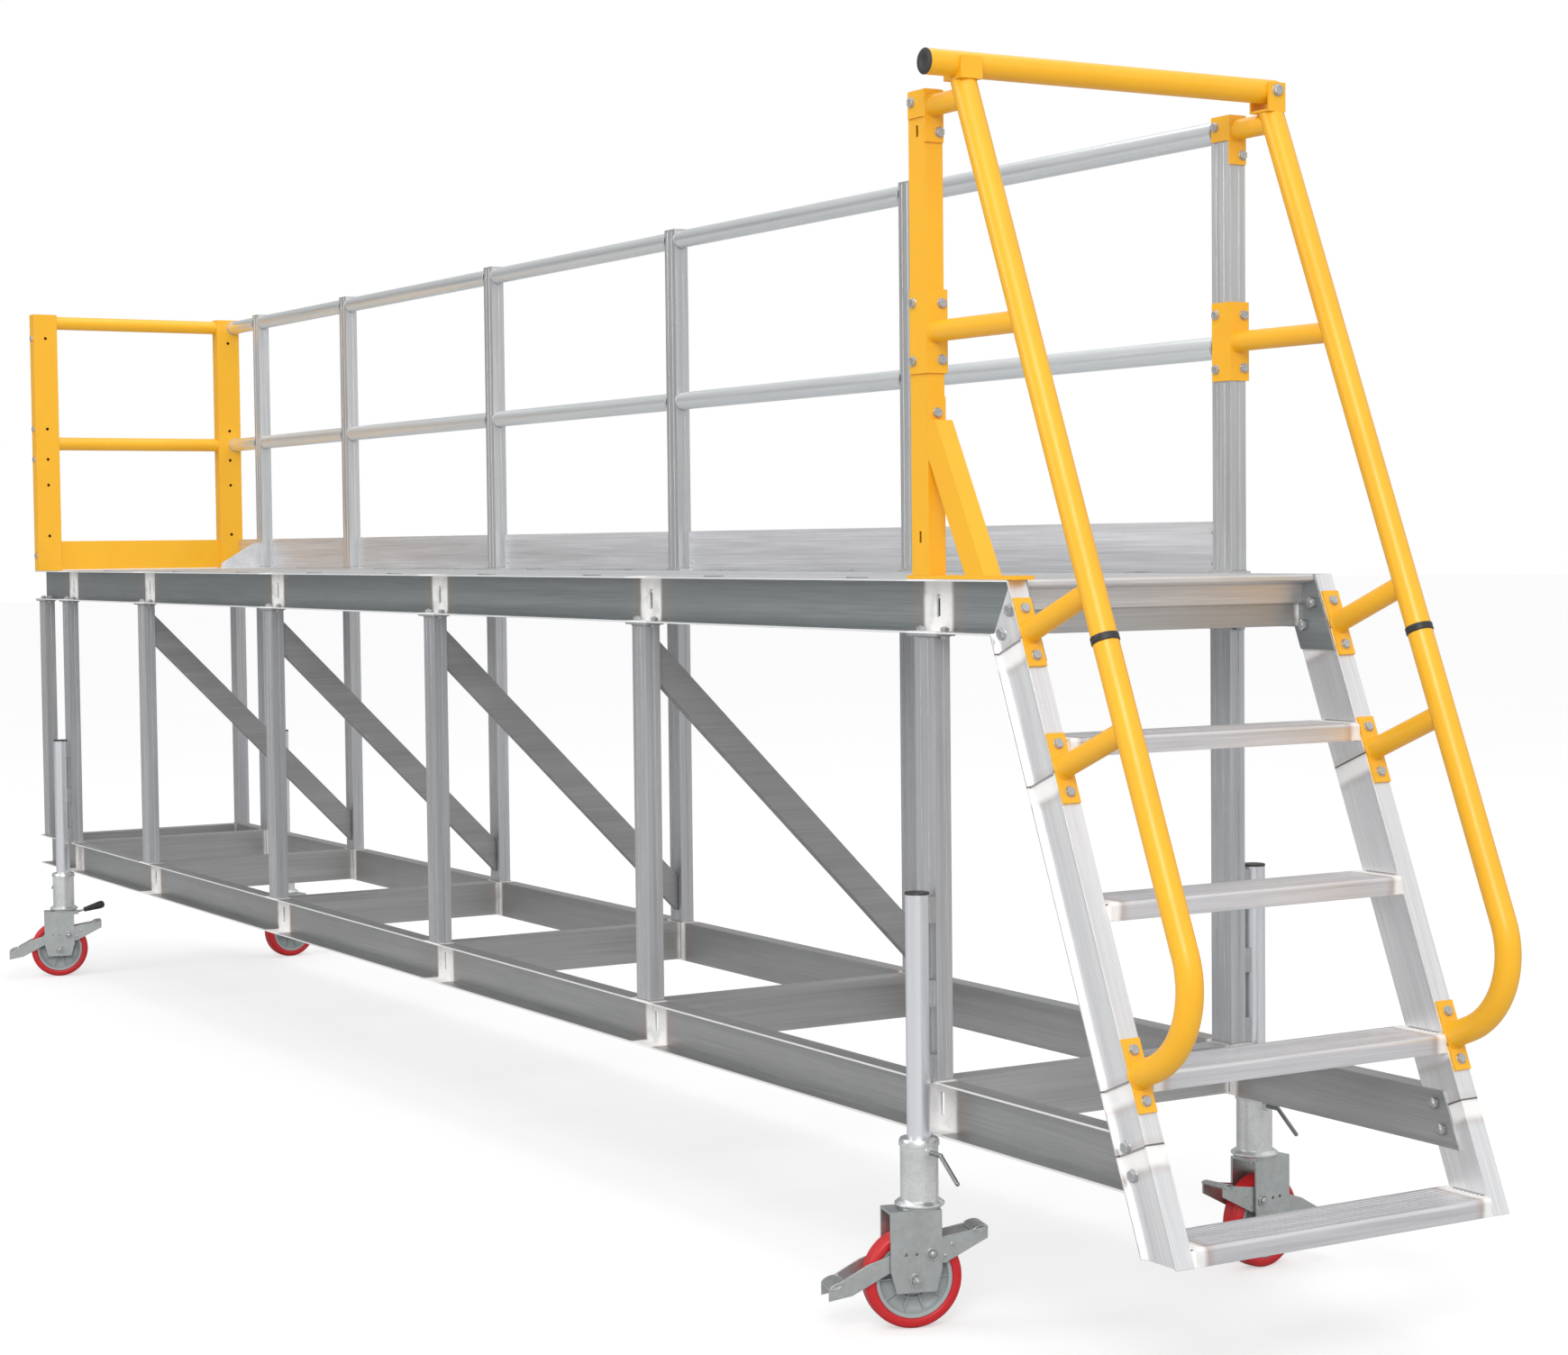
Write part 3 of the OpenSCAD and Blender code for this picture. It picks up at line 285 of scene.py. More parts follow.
@dataclass(frozen=True)
class Finish:
    """What every finish has: a name, a colour and a way to start its material."""

    name: str
    colour: tuple[float, float, float]

    def start(self, effects: Effects) -> tuple[bpy.types.Material, Graph, bpy.types.Node,
                                               bpy.types.NodeSocket, dict]:
        """Make the material with its Principled shader, object coordinates and the edge group.

        Args:
            effects: the shared groups.

        Returns:
            The material, its graph, its Principled node, the object coordinates and the edge outputs.
        """
        material = bpy.data.materials.new(self.name)
        material.use_nodes = True
        graph = Graph(material.node_tree)
        shader = material.node_tree.nodes["Principled BSDF"]
        place = graph.node("TexCoord").outputs["Object"]
        edge = graph.node("Group", node_tree=effects.edge)
        return material, graph, shader, place, edge.outputs

    def join(self, graph: Graph, shader: bpy.types.Node, **sockets: object) -> None:
        """Link or set the shader's inputs.

        Args:
            graph: the material's graph.
            shader: its Principled node.
            **sockets: input name, with underscores for spaces, to a value or socket.
        """
        for key, value in sockets.items():
            socket = shader.inputs[key.replace("_", " ")]
            if isinstance(value, bpy.types.NodeSocket):
                graph.tree.links.new(value, socket)
            else:
                socket.default_value = value


@dataclass(frozen=True)
class Aluminium(Finish):
    """Extruded aluminium with drawn lines, handling marks and, where it is welded, cleaned zones."""

    grain: tuple[float, float, float] = ALONG_X
    slope: float = 0.0
    rough: float = 0.42
    lines: float = 260.0
    zones: tuple[float, ...] = ()
    zone_half: float = 0.05
    zone_axis: int = 0
    # Places of painted shadow lines at seams, standing in for the shade under each seam's upper edge.
    seams: tuple[float, ...] = ()
    heat: float = 0.30
    relief: float = 0.10
    contrast: float = 1.0
    # Painted highlight: the outermost lips of the beam flanges, near this distance from the middle, are
    # painted near white as lit edges.
    painted_highlight_at: float = 0.0

    def build(self, effects: Effects) -> bpy.types.Material:
        """Build the material.

        Args:
            effects: the shared groups.

        Returns:
            The material.
        """
        material, graph, shader, place, edge = self.start(effects)
        turned_place = graph.node("Mapping", {"Vector": place, "Rotation": (0.0, self.slope, 0.0)}).outputs[0]
        stretched = graph.node("Mapping", {"Vector": turned_place, "Scale": self.grain}).outputs[0]
        drawn = graph.node("Group", {"Vector": stretched, "Lines": self.lines},
                           node_tree=effects.drawn).outputs
        marks = graph.node("Group", {"Vector": place, "Size": 2.6}, node_tree=effects.stain).outputs
        dark = tuple(c * (1.0 - 0.20 * self.contrast) for c in self.colour)
        light = tuple(min(1.0, c * (1.0 + 0.16 * self.contrast)) for c in self.colour)
        tone = graph.spread(drawn["Tone"], 0.34, 0.66, 0.0, 1.0)
        colour = graph.mix(tone, tinted(dark), tinted(light))
        dull = tinted(tuple(c * 0.84 for c in self.colour))
        colour = graph.mix(graph.math("MULTIPLY", marks["Cloud"], 0.35), colour, dull)
        rough = graph.math("ADD", graph.math("MULTIPLY", tone, 0.10), self.rough - 0.05)
        rough = graph.math("ADD", rough, graph.math("MULTIPLY", marks["Cloud"], 0.08))
        metal: object = 0.88
        if self.zones:
            clean, rim = self.cleaned(graph, effects, turned_place)
            ground = graph.node("TexNoise", {"Vector": place, "Scale": 420.0, "Detail": 3.0}).outputs[0]
            white = graph.mix(ground, (0.88, 0.87, 0.86, 1.0), (1.0, 0.99, 0.98, 1.0))
            colour = graph.mix(graph.math("MULTIPLY", rim, self.heat), colour, (0.56, 0.37, 0.27, 1.0))
            colour = graph.mix(clean, colour, white)
            rough = graph.math("ADD", rough, graph.math("MULTIPLY", clean, 0.18), True)
            metal = graph.spread(clean, 0.0, 1.0, 0.88, 0.12)
        # Painted highlight: the outermost lips of the beam flanges are painted near white and less metallic,
        # to read as lit edges.
        if self.painted_highlight_at:
            across = graph.math("ABSOLUTE", graph.node("SeparateXYZ", {0: place}).outputs[1])
            lip = graph.spread(across, self.painted_highlight_at - 0.0016, self.painted_highlight_at - 0.0008, 0.0, 1.0)
            colour = graph.mix(graph.math("MULTIPLY", lip, 0.85), colour, (0.96, 0.96, 0.96, 1.0))
            metal = graph.math("SUBTRACT", metal, graph.math("MULTIPLY", lip, 0.6), True)
        # Painted shadow: a near-black line at each seam stands in for the shade under the seam's upper edge.
        if self.seams:
            colour = graph.mix(self.seam_shadow_lines(graph, effects, turned_place), colour, (0.05, 0.05, 0.05, 1.0))
        colour = graph.mix(graph.math("MULTIPLY", edge["Worn"], 0.5), colour, (0.90, 0.90, 0.90, 1.0))
        colour = graph.mix(graph.math("MULTIPLY", marks["Specks"], 0.35), colour, (0.25, 0.25, 0.25, 1.0))
        bump = graph.node("Bump", {"Height": drawn["Height"], "Strength": self.relief, "Distance": 0.0006,
                                   "Normal": edge["Normal"]}).outputs[0]
        self.join(graph, shader, Base_Color=colour, Metallic=metal, Roughness=rough, Normal=bump)
        return material

    def cleaned(self, graph: Graph, effects: Effects,
                place: bpy.types.NodeSocket) -> tuple[bpy.types.NodeSocket, bpy.types.NodeSocket]:
        """Masks of the bright zones beside the welds and of the heat tint around them.

        Args:
            graph: the material's graph.
            effects: the shared groups.
            place: coordinates whose X runs through the zones.

        Returns:
            The zone mask and the tint mask.
        """
        split = graph.node("SeparateXYZ", {0: place}).outputs
        wobble = graph.node("TexNoise", {"Vector": place, "Scale": 26.0, "Detail": 2.0}).outputs[0]
        along = graph.math("ADD", split[self.zone_axis],
                           graph.math("MULTIPLY", graph.math("SUBTRACT", wobble, 0.5), 0.008))
        clean: object = 0.0
        rim: object = 0.0
        for spot in self.zones:
            band = graph.node("Group", {"Along": along, "Place": spot, "Half": self.zone_half},
                              node_tree=effects.band).outputs
            clean = graph.math("MAXIMUM", band["Band"], clean)
            rim = graph.math("MAXIMUM", band["Rim"], rim)
        patch = graph.spread(wobble, 0.30, 0.50, 0.72, 1.0)
        return graph.math("MULTIPLY", clean, patch, True), rim

    def seam_shadow_lines(self, graph: Graph, effects: Effects, place: bpy.types.NodeSocket) -> bpy.types.NodeSocket:
        """Mask of a painted shadow line at each seam where two lengths meet.

        Args:
            graph: the material's graph.
            effects: the shared groups.
            place: coordinates whose X runs through the joints.

        Returns:
            The mask.
        """
        along = graph.node("SeparateXYZ", {0: place}).outputs[0]
        line: object = 0.0
        for spot in self.seams:
            band = graph.node("Group", {"Along": along, "Place": spot, "Half": 0.0017, "Soft": 0.0006},
                              node_tree=effects.band).outputs
            line = graph.math("MAXIMUM", band["Band"], line)
        return graph.math("MULTIPLY", line, 0.85)


@dataclass(frozen=True)
class PowderCoat(Finish):
    """Satin powder coat with orange peel, faint dust and small chips along its edges."""

    rough: float = 0.34

    def build(self, effects: Effects) -> bpy.types.Material:
        """Build the material.

        Args:
            effects: the shared groups.

        Returns:
            The material.
        """
        material, graph, shader, place, edge = self.start(effects)
        marks = graph.node("Group", {"Vector": place, "Size": 3.4}, node_tree=effects.stain).outputs
        deep = tuple(c * k for c, k in zip(self.colour, (0.93, 0.86, 0.70)))
        colour = graph.mix(graph.math("MULTIPLY", marks["Cloud"], 0.55), tinted(self.colour), tinted(deep))
        chips = graph.spread(edge["Worn"], 0.90, 0.99, 0.0, 0.55)
        colour = graph.mix(graph.math("MULTIPLY", edge["Worn"], 0.22), colour, (1.0, 0.78, 0.30, 1.0))
        colour = graph.mix(chips, colour, (0.72, 0.66, 0.52, 1.0))
        colour = graph.mix(graph.math("MULTIPLY", marks["Specks"], 0.4), colour, (0.32, 0.20, 0.04, 1.0))
        peel = graph.node("TexNoise", {"Vector": place, "Scale": 480.0, "Detail": 2.0}).outputs[0]
        bump = graph.node("Bump", {"Height": peel, "Strength": 0.09, "Distance": 0.0005,
                                   "Normal": edge["Normal"]}).outputs[0]
        rough = graph.math("ADD", graph.math("MULTIPLY", marks["Cloud"], 0.12), self.rough)
        self.join(graph, shader, Base_Color=colour, Roughness=rough, Normal=bump, Coat_Weight=0.18,
                  Coat_Roughness=0.22, Specular_IOR_Level=0.5)
        return material


@dataclass(frozen=True)
class ZincPlate(Finish):
    """Zinc-plated steel with a cloudy crystal pattern and darker grime in places."""

    rough: float = 0.38
    crystals: float = 90.0

    def build(self, effects: Effects) -> bpy.types.Material:
        """Build the material.

        Args:
            effects: the shared groups.

        Returns:
            The material.
        """
        material, graph, shader, place, edge = self.start(effects)
        marks = graph.node("Group", {"Vector": place, "Size": 9.0}, node_tree=effects.stain).outputs
        cells = graph.node("TexVoronoi", {"Vector": place, "Scale": self.crystals,
                                          "Randomness": 1.0}).outputs["Color"]
        shade = graph.node("SeparateColor", {0: cells}).outputs[0]
        deep = tinted(tuple(c * 0.72 for c in self.colour))
        base = graph.mix(graph.math("MULTIPLY", shade, 0.35), tinted(self.colour), deep)
        base = graph.mix(graph.math("MULTIPLY", marks["Cloud"], 0.4), base, (0.34, 0.35, 0.34, 1.0))
        base = graph.mix(edge["Worn"], base, (0.82, 0.82, 0.81, 1.0))
        base = graph.mix(graph.math("MULTIPLY", marks["Specks"], 0.7), base, (0.10, 0.09, 0.08, 1.0))
        rough = graph.math("ADD", graph.math("MULTIPLY", marks["Cloud"], 0.16), self.rough)
        bump = graph.node("Bump", {"Height": shade, "Strength": 0.05, "Distance": 0.0004,
                                   "Normal": edge["Normal"]}).outputs[0]
        self.join(graph, shader, Base_Color=base, Metallic=0.92, Roughness=rough, Normal=bump)
        return material


@dataclass(frozen=True)
class Moulded(Finish):
    """Moulded rubber or plastic with a fine texture and dust that has settled on it."""

    rough: float = 0.5
    grain: float = 700.0
    dust: float = 0.15
    dusty: tuple[float, float, float] = (0.45, 0.43, 0.40)
    gloss: float = 0.5

    def build(self, effects: Effects) -> bpy.types.Material:
        """Build the material.

        Args:
            effects: the shared groups.

        Returns:
            The material.
        """
        material, graph, shader, place, edge = self.start(effects)
        marks = graph.node("Group", {"Vector": place, "Size": 7.0}, node_tree=effects.stain).outputs
        deep = tuple(c * 0.78 for c in self.colour)
        colour = graph.mix(graph.math("MULTIPLY", marks["Cloud"], 0.6), tinted(self.colour), tinted(deep))
        colour = graph.mix(graph.math("MULTIPLY", marks["Cloud"], self.dust), colour, tinted(self.dusty))
        colour = graph.mix(graph.math("MULTIPLY", edge["Worn"], 0.25), colour, tinted(self.dusty))
        tex = graph.node("TexNoise", {"Vector": place, "Scale": self.grain, "Detail": 3.0}).outputs[0]
        bump = graph.node("Bump", {"Height": tex, "Strength": 0.14, "Distance": 0.0005,
                                   "Normal": edge["Normal"]}).outputs[0]
        rough = graph.math("ADD", graph.math("MULTIPLY", marks["Cloud"], 0.2), self.rough - 0.08)
        self.join(graph, shader, Base_Color=colour, Roughness=rough, Normal=bump,
                  Specular_IOR_Level=self.gloss)
        return material


@dataclass(frozen=True)
class WeldMetal(Finish):
    """A rippled weld bead, bare or under paint."""

    metal: float = 0.7
    rough: float = 0.4

    def build(self, effects: Effects) -> bpy.types.Material:
        """Build the material.

        Args:
            effects: the shared groups.

        Returns:
            The material.
        """
        material, graph, shader, place, edge = self.start(effects)
        ripple = graph.node("TexNoise", {"Vector": place, "Scale": 190.0, "Detail": 2.0}).outputs[0]
        scale = graph.node("TexVoronoi", {"Vector": place, "Scale": 150.0},
                           feature="SMOOTH_F1").outputs["Distance"]
        colour = graph.mix(ripple, tinted(tuple(c * 0.82 for c in self.colour)), tinted(self.colour))
        bump = graph.node("Bump", {"Height": scale, "Strength": 0.35, "Distance": 0.0015,
                                   "Normal": edge["Normal"]}).outputs[0]
        rough = graph.math("ADD", graph.math("MULTIPLY", ripple, 0.15), self.rough)
        self.join(graph, shader, Base_Color=colour, Metallic=self.metal, Roughness=rough, Normal=bump)
        return material


# ---------------------------------------------------------------- bench tools


def clear_selection() -> None:
    """Leave edit mode and deselect everything."""
    if bpy.context.object and bpy.context.object.mode != "OBJECT":
        bpy.ops.object.mode_set(mode="OBJECT")
    bpy.ops.object.select_all(action="DESELECT")


def turned(profile: list[tuple[float, float]], segments: int = 32, ring: bool = False) -> bpy.types.Object:
    """Turn a profile about Z, extruding a circle from one station to the next.

    Args:
        profile: radius and height of each station, in millimetres.
        segments: corners round the turn.
        ring: join the last station to the first, for a piece with a hole.

    Returns:
        The new object, in metres.
    """
    clear_selection()
    radius, height = profile[0]
    bpy.ops.mesh.primitive_circle_add(vertices=segments, radius=radius * MM, location=(0, 0, height * MM),
                                      fill_type="NOTHING" if ring else "NGON")
    made = bpy.context.object
    bpy.ops.object.transform_apply(location=True, rotation=False, scale=False)
    bpy.ops.object.mode_set(mode="EDIT")
    bpy.ops.mesh.select_mode(type="EDGE")
    bpy.ops.mesh.select_all(action="SELECT")
    for (r0, z0), (r1, z1) in zip(profile, profile[1:]):
        bpy.ops.mesh.extrude_edges_move(TRANSFORM_OT_translate={"value": (0, 0, (z1 - z0) * MM)})
        if r1 != r0:
            bpy.ops.transform.resize(value=(r1 / r0, r1 / r0, 1), center_override=(0, 0, 0))
    if ring:
        bpy.ops.object.mode_set(mode="OBJECT")
        count = len(made.data.vertices)
        ends = set(range(segments)) | set(range(count - segments, count))
        for vertex in made.data.vertices:
            vertex.select = vertex.index in ends
        for edge in made.data.edges:
            first, second = edge.vertices
            edge.select = first in ends and second in ends and abs(first - second) < segments
        bpy.ops.object.mode_set(mode="EDIT")
        bpy.ops.mesh.bridge_edge_loops()
    else:
        bpy.ops.mesh.edge_face_add()
    bpy.ops.mesh.select_all(action="SELECT")
    bpy.ops.mesh.normals_make_consistent(inside=False)
    bpy.ops.object.mode_set(mode="OBJECT")
    return made


def rounded_bar(size: tuple[float, float, float], edge: float) -> bpy.types.Object:
    """Make a bar with bevelled edges, centred on the origin.

    Args:
        size: full lengths along X, Y and Z, in millimetres.
        edge: width of the bevel, in millimetres.

    Returns:
        The new object, in metres.
    """
    clear_selection()
    bpy.ops.mesh.primitive_cube_add(size=1.0)
    made = bpy.context.object
    bpy.ops.object.mode_set(mode="EDIT")
    bpy.ops.transform.resize(value=tuple(v * MM for v in size))
    bpy.ops.mesh.bevel(offset=edge * MM, segments=2, affect="EDGES")
    bpy.ops.object.mode_set(mode="OBJECT")
    return made


def moved(piece: bpy.types.Object, matrix: Matrix) -> bpy.types.Object:
    """Move a piece's mesh and leave its object at the origin.

    Args:
        piece: the object.
        matrix: where it goes.

    Returns:
        The same object.
    """
    piece.data.transform(matrix)
    piece.data.update()
    return piece


def joined(parts: list[bpy.types.Object]) -> bpy.types.Object:
    """Join several objects into the first one.

    Args:
        parts: the objects.

    Returns:
        The joined object.
    """
    clear_selection()
    for part in parts:
        part.select_set(True)
    bpy.context.view_layer.objects.active = parts[0]
    if len(parts) > 1:
        bpy.ops.object.join()
    return bpy.context.object


def repeated(master: bpy.types.Object, places: list[Matrix]) -> bpy.types.Object:
    """Copy a master to each place, join the copies and remove the master.

    Args:
        master: the piece to copy.
        places: one matrix for each copy.

    Returns:
        One object that holds all copies.
    """
    copies = []
    for place in places:
        twin = master.copy()
        twin.data = master.data.copy()
        bpy.context.scene.collection.objects.link(twin)
        copies.append(moved(twin, place))
    bpy.data.objects.remove(master, do_unlink=True)
    return joined(copies)


def aimed(point: Vector, axis: Vector) -> Matrix:
    """A place whose Z points along an axis.

    Args:
        point: where the origin goes, in metres.
        axis: where +Z points.

    Returns:
        The matrix.
    """
    return Matrix.Translation(point) @ axis.to_track_quat("Z", "Y").to_matrix().to_4x4()


@dataclass
class Maker:
    """Hands each finished piece its name, material and body, and reports it."""

    materials: dict[str, bpy.types.Material]
    made: list[bpy.types.Object] = field(default_factory=list)

    def finish(self, piece: bpy.types.Object, name: str, look: str, body: str, slot: str,
               replaces: tuple[str, ...] = ()) -> bpy.types.Object:
        """Finish a piece.

        Args:
            piece: the object.
            name: its name.
            look: key of its material.
            body: the body it rides on.
            slot: the record's material slot; not used.
            replaces: frame nodes it stands for.

        Returns:
            The same object.
        """
        piece.name = name
        piece.data.name = name
        piece.data.materials.clear()
        piece.data.materials.append(self.materials[look])
        clear_selection()
        piece.select_set(True)
        bpy.context.view_layer.objects.active = piece
        bpy.ops.object.shade_smooth_by_angle(angle=math.radians(38))
        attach(piece, body)
        if replaces:
            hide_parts(*replaces)
        self.made.append(piece)
        LOG.info("%s rides on %s with %d faces", name, body, len(piece.data.polygons))
        return piece


# ---------------------------------------------------------------- the platform's plan


class Side(Enum):
    """The two long sides of the platform."""

    NEAR = "near"
    FAR = "far"

    @property
    def outward(self) -> Vector:
        """Direction out of this side.

        Returns:
            The unit vector.
        """
        return Vector((0, -1 if self is Side.NEAR else 1, 0))


@dataclass(frozen=True)
class Plan:
    """Sizes of the platform in millimetres, laid out from the first leg pair, and its places in metres."""

    deck_h: float = 1480.0
    deck_w: float = 800.0
    first_bay: float = 860.0
    bay: float = 1204.0
    bays: int = 4
    end_overhang: float = 342.0
    stair_overhang: float = 295.0
    chassis_h: float = 487.0
    beam_h: float = 107.0
    flange_w: float = 46.0
    beam_t: float = 4.0
    leg_w: float = 65.0
    leg_d: float = 38.0
    leg_inset: float = 8.0
    leg_plate_w: float = 105.0
    leg_plate_t: float = 5.0
    cross_w: float = 50.0
    post_w: float = 60.0
    post_d: float = 40.0
    guard_h: float = 950.0
    mid_h: float = 475.0
    rail_d: float = 48.3
    hand_d: float = 50.0
    hand_off: float = 215.0
    hand_bend: float = 165.0
    low_plate: float = 960.0
    slope: float = math.radians(67.6)
    stile_w: float = 95.0
    stile_recess: float = 8.0
    riser: float = 294.0
    tread_count: int = 4
    tread_t: float = 35.0
    trail: float = 18.0
    bar_rise: float = 38.0
    bar_shift: float = 12.0
    bracket_wrap: float = 4.0
    stile_feet: tuple[float, float] = (107.0, 377.0)
    caster_dx: float = 18.0
    axle_z: float = 100.0

    @property
    def stations(self) -> list[float]:
        """Leg pairs along the deck.

        Returns:
            Their plan X.
        """
        return [0.0] + [self.first_bay + self.bay * k for k in range(self.bays + 1)]

    @property
    def last(self) -> float:
        """The last leg pair.

        Returns:
            Its plan X.
        """
        return self.stations[-1]

    @property
    def leg_places(self) -> list[float]:
        """All legs, with the pair at the left end first.

        Returns:
            Their plan X.
        """
        return [-self.end_overhang + self.leg_plate_w / 2 + 2.0] + self.stations

    @property
    def deck_end(self) -> float:
        """End of the deck at the stair.

        Returns:
            Its plan X.
        """
        return self.last + self.stair_overhang

    @property
    def x_mid(self) -> float:
        """What is taken off every X to centre the platform.

        Returns:
            The plan X of the platform's middle.
        """
        reach = self.deck_end + (self.low_plate - self.hand_bend) * math.cos(self.slope)
        reach += (self.hand_off - self.hand_bend) * math.sin(self.slope) + self.hand_bend + self.hand_d / 2
        return (reach - self.end_overhang) / 2

    @property
    def rail_lines(self) -> tuple[float, float]:
        """The handrails' middle lines across the deck.

        Returns:
            Their plan Y, the near one first.
        """
        return self.post_d / 2, self.deck_w - self.post_d / 2

    @property
    def bar_z(self) -> float:
        """Height of the drop bar.

        Returns:
            Its plan Z.
        """
        return self.deck_h + self.guard_h + self.bar_rise

    @property
    def bar_x(self) -> float:
        """Place of the drop bar along the deck, over the upper ends of the handrails.

        Returns:
            Its plan X.
        """
        back = (self.deck_h - self.bar_z) / math.tan(self.slope)
        return self.deck_end + back + self.hand_off / math.sin(self.slope) + self.bar_shift

    def spot(self, x: float, y: float, z: float, side: Side = Side.NEAR) -> Vector:
        """Turn plan millimetres into a place in metres.

        Args:
            x: along the deck from the first leg pair.
            y: across, from the outer edge of the side's beam.
            z: above the floor.
            side: the side that y is measured from.

        Returns:
            The place.
        """
        across = y if side is Side.NEAR else self.deck_w - y
        return Vector((x - self.x_mid, across - self.deck_w / 2, z)) * MM

    def along(self, x: float) -> float:
        """Place of a plan X on the metre axis.

        Args:
            x: along the deck from the first leg pair.

        Returns:
            The place in metres.
        """
        return (x - self.x_mid) * MM

    def stair(self, across: float) -> Matrix:
        """Frame on the stair: X down the slope, Z out of its front.

        Args:
            across: plan Y of its origin.

        Returns:
            The matrix, in metres.
        """
        edge = self.spot(self.deck_end, across, self.deck_h)
        return Matrix.Translation(edge) @ Matrix.Rotation(self.slope, 4, "Y")

    def caster(self, key: str) -> Matrix:
        """Frame of a caster, with its X along the fork's trail.

        Args:
            key: such as rear_near.

        Returns:
            The matrix, in metres.
        """
        end, side = key.split("_")
        x = self.caster_dx + (0.0 if end == "rear" else self.last)
        turn = math.radians(74.0 if side == "near" else -81.0)
        place = self.spot(x, -self.rail_d / 2 - 3.0, 0.0, Side(side))
        return Matrix.Translation(place) @ Matrix.Rotation(turn, 4, "Z")


CASTERS = ("rear_near", "rear_far", "front_near", "front_far")


# ---------------------------------------------------------------- sub-assemblies


@dataclass
class Fasteners:
    """Hex bolts with washers, chamfered heads, shanks and nuts, in place of the frame's plain ones."""

    plan: Plan
    maker: Maker
    washer_t: float = 1.6
    head_ratio: float = 0.65
    nut_ratio: float = 0.8
    strut_z: float = 326.0

    def bolt(self, d: float, grip: float, nut: bool) -> bpy.types.Object:
        """Model one bolt with its head above Z = 0.

        Args:
            d: shank diameter.
            grip: thickness it clamps.
            nut: whether a nut closes the far end.

        Returns:
            The bolt.
        """
        corner = 1.7 * d / 2 / math.cos(math.radians(30))
        top = self.head_ratio * d
        t = self.washer_t
        washer = turned([(0.98 * d, 0.0), (1.06 * d, 0.25), (1.06 * d, t - 0.25), (0.99 * d, t)], 20)
        head = turned([(corner, t), (corner, top - 0.9), (corner * 0.90, top), (corner * 0.60, top),
                       (corner * 0.55, top - 0.4)], 6)
        bore_end = -grip - (self.nut_ratio * d + 2.0 if nut else 0.0)
        shank = turned([(d * 0.42, bore_end), (d / 2, bore_end + 1.0), (d / 2, 0.2)], 16)
        parts = [washer, head, shank]
        if nut:
            deep = -grip - self.nut_ratio * d
            parts.append(turned([(corner * 0.86, deep), (corner, deep + 1.0), (corner, -grip - 0.8),
                                 (corner * 0.9, -grip)], 6))
        return joined(parts)

    def leg_places(self) -> list[Matrix]:
        """Places of the bolts through the leg plates, heads down.

        Returns:
            The matrices.
        """
        plan = self.plan
        z = plan.deck_h - plan.beam_h - plan.leg_plate_t
        reach = plan.leg_w / 2 + 10.5
        return [aimed(plan.spot(x + dx, plan.leg_inset + plan.leg_d / 2, z, side), Vector((0, 0, -1)))
                for side in Side for x in plan.leg_places for dx in (-reach, reach)]

    def stair_places(self) -> list[Matrix]:
        """Places of the bolts through the stiles, heads outwards.

        Returns:
            The matrices.
        """
        plan = self.plan
        run = (plan.deck_h - plan.chassis_h) / math.sin(plan.slope)
        spots = [(52.0, -24.0), (84.0, -66.0), (run, -67.0), (run + 52.0, -67.0)]
        out = []
        for side in Side:
            for s, n in spots:
                x = plan.deck_end + s * math.cos(plan.slope) + n * math.sin(plan.slope)
                z = plan.deck_h - s * math.sin(plan.slope) + n * math.cos(plan.slope)
                out.append(aimed(plan.spot(x, plan.stile_recess, z, side), side.outward))
        return out

    def guard_places(self) -> list[Matrix]:
        """Places of the bolts on the end panel's posts.

        Returns:
            The matrices.
        """
        plan = self.plan
        x = -plan.end_overhang + 25.0
        return [aimed(plan.spot(x, 0.0, plan.deck_h + z, side), side.outward)
                for side in Side for z in (866.0, 529.0, 416.0, 56.0)]

    def bracket_places(self) -> list[Matrix]:
        """Places of the bolts on the handrail brackets of posts and stiles.

        Returns:
            The matrices.
        """
        plan = self.plan
        wrap = plan.bracket_wrap
        left, right = plan.last - plan.post_w / 2, plan.last + plan.post_w / 2
        out = []
        for y0 in (0.0, plan.deck_w - plan.post_d):
            for dx, z in ((18.0, 933.0), (18.0, 542.0), (18.0, 428.0)):
                out.append(aimed(plan.spot(left + dx, y0 - wrap, plan.deck_h + z), Side.NEAR.outward))
            for dy, z in ((30.0, 872.0), (32.0, 540.0), (32.0, 430.0)):
                out.append(aimed(plan.spot(right + wrap, y0 + dy, plan.deck_h + z), AHEAD))
        for across in plan.rail_lines:
            for s in (*plan.stile_feet, plan.low_plate):
                for ds in (-47.0, 47.0):
                    out.append(plan.stair(across) @ Matrix.Translation(Vector((s + ds, 0, 6.0)) * MM))
        return out

    def build(self) -> None:
        """Model every set of bolts."""
        plan = self.plan
        through = plan.flange_w - plan.stile_recess
        sets = (("leg", 10.0, 9.0, True, self.leg_places()),
                ("stair", 12.0, through, True, self.stair_places()),
                ("bracket", 10.0, 6.0, False, self.bracket_places()))
        for name, d, grip, nut, places in sets:
            self.hand_over(repeated(self.bolt(d, grip, nut), places), name)
        face = plan.last + plan.post_w / 2 + plan.bracket_wrap
        strut = aimed(plan.spot(face, plan.rail_lines[0], plan.deck_h + self.strut_z), AHEAD)
        guard = joined([repeated(self.bolt(10.0, 3.0, True), self.guard_places()),
                        repeated(self.bolt(10.0, 7.0, True), [strut])])
        self.hand_over(guard, "guard")

    def hand_over(self, bolts: bpy.types.Object, name: str) -> None:
        """Finish one set of bolts in place of the frame's set of the same name.

        Args:
            bolts: all bolts of the set.
            name: the set.
        """
        self.maker.finish(bolts, f"{name}_fasteners", "fastener", "frame", "fastener_zinc",
                          (f"{name}_bolts",))


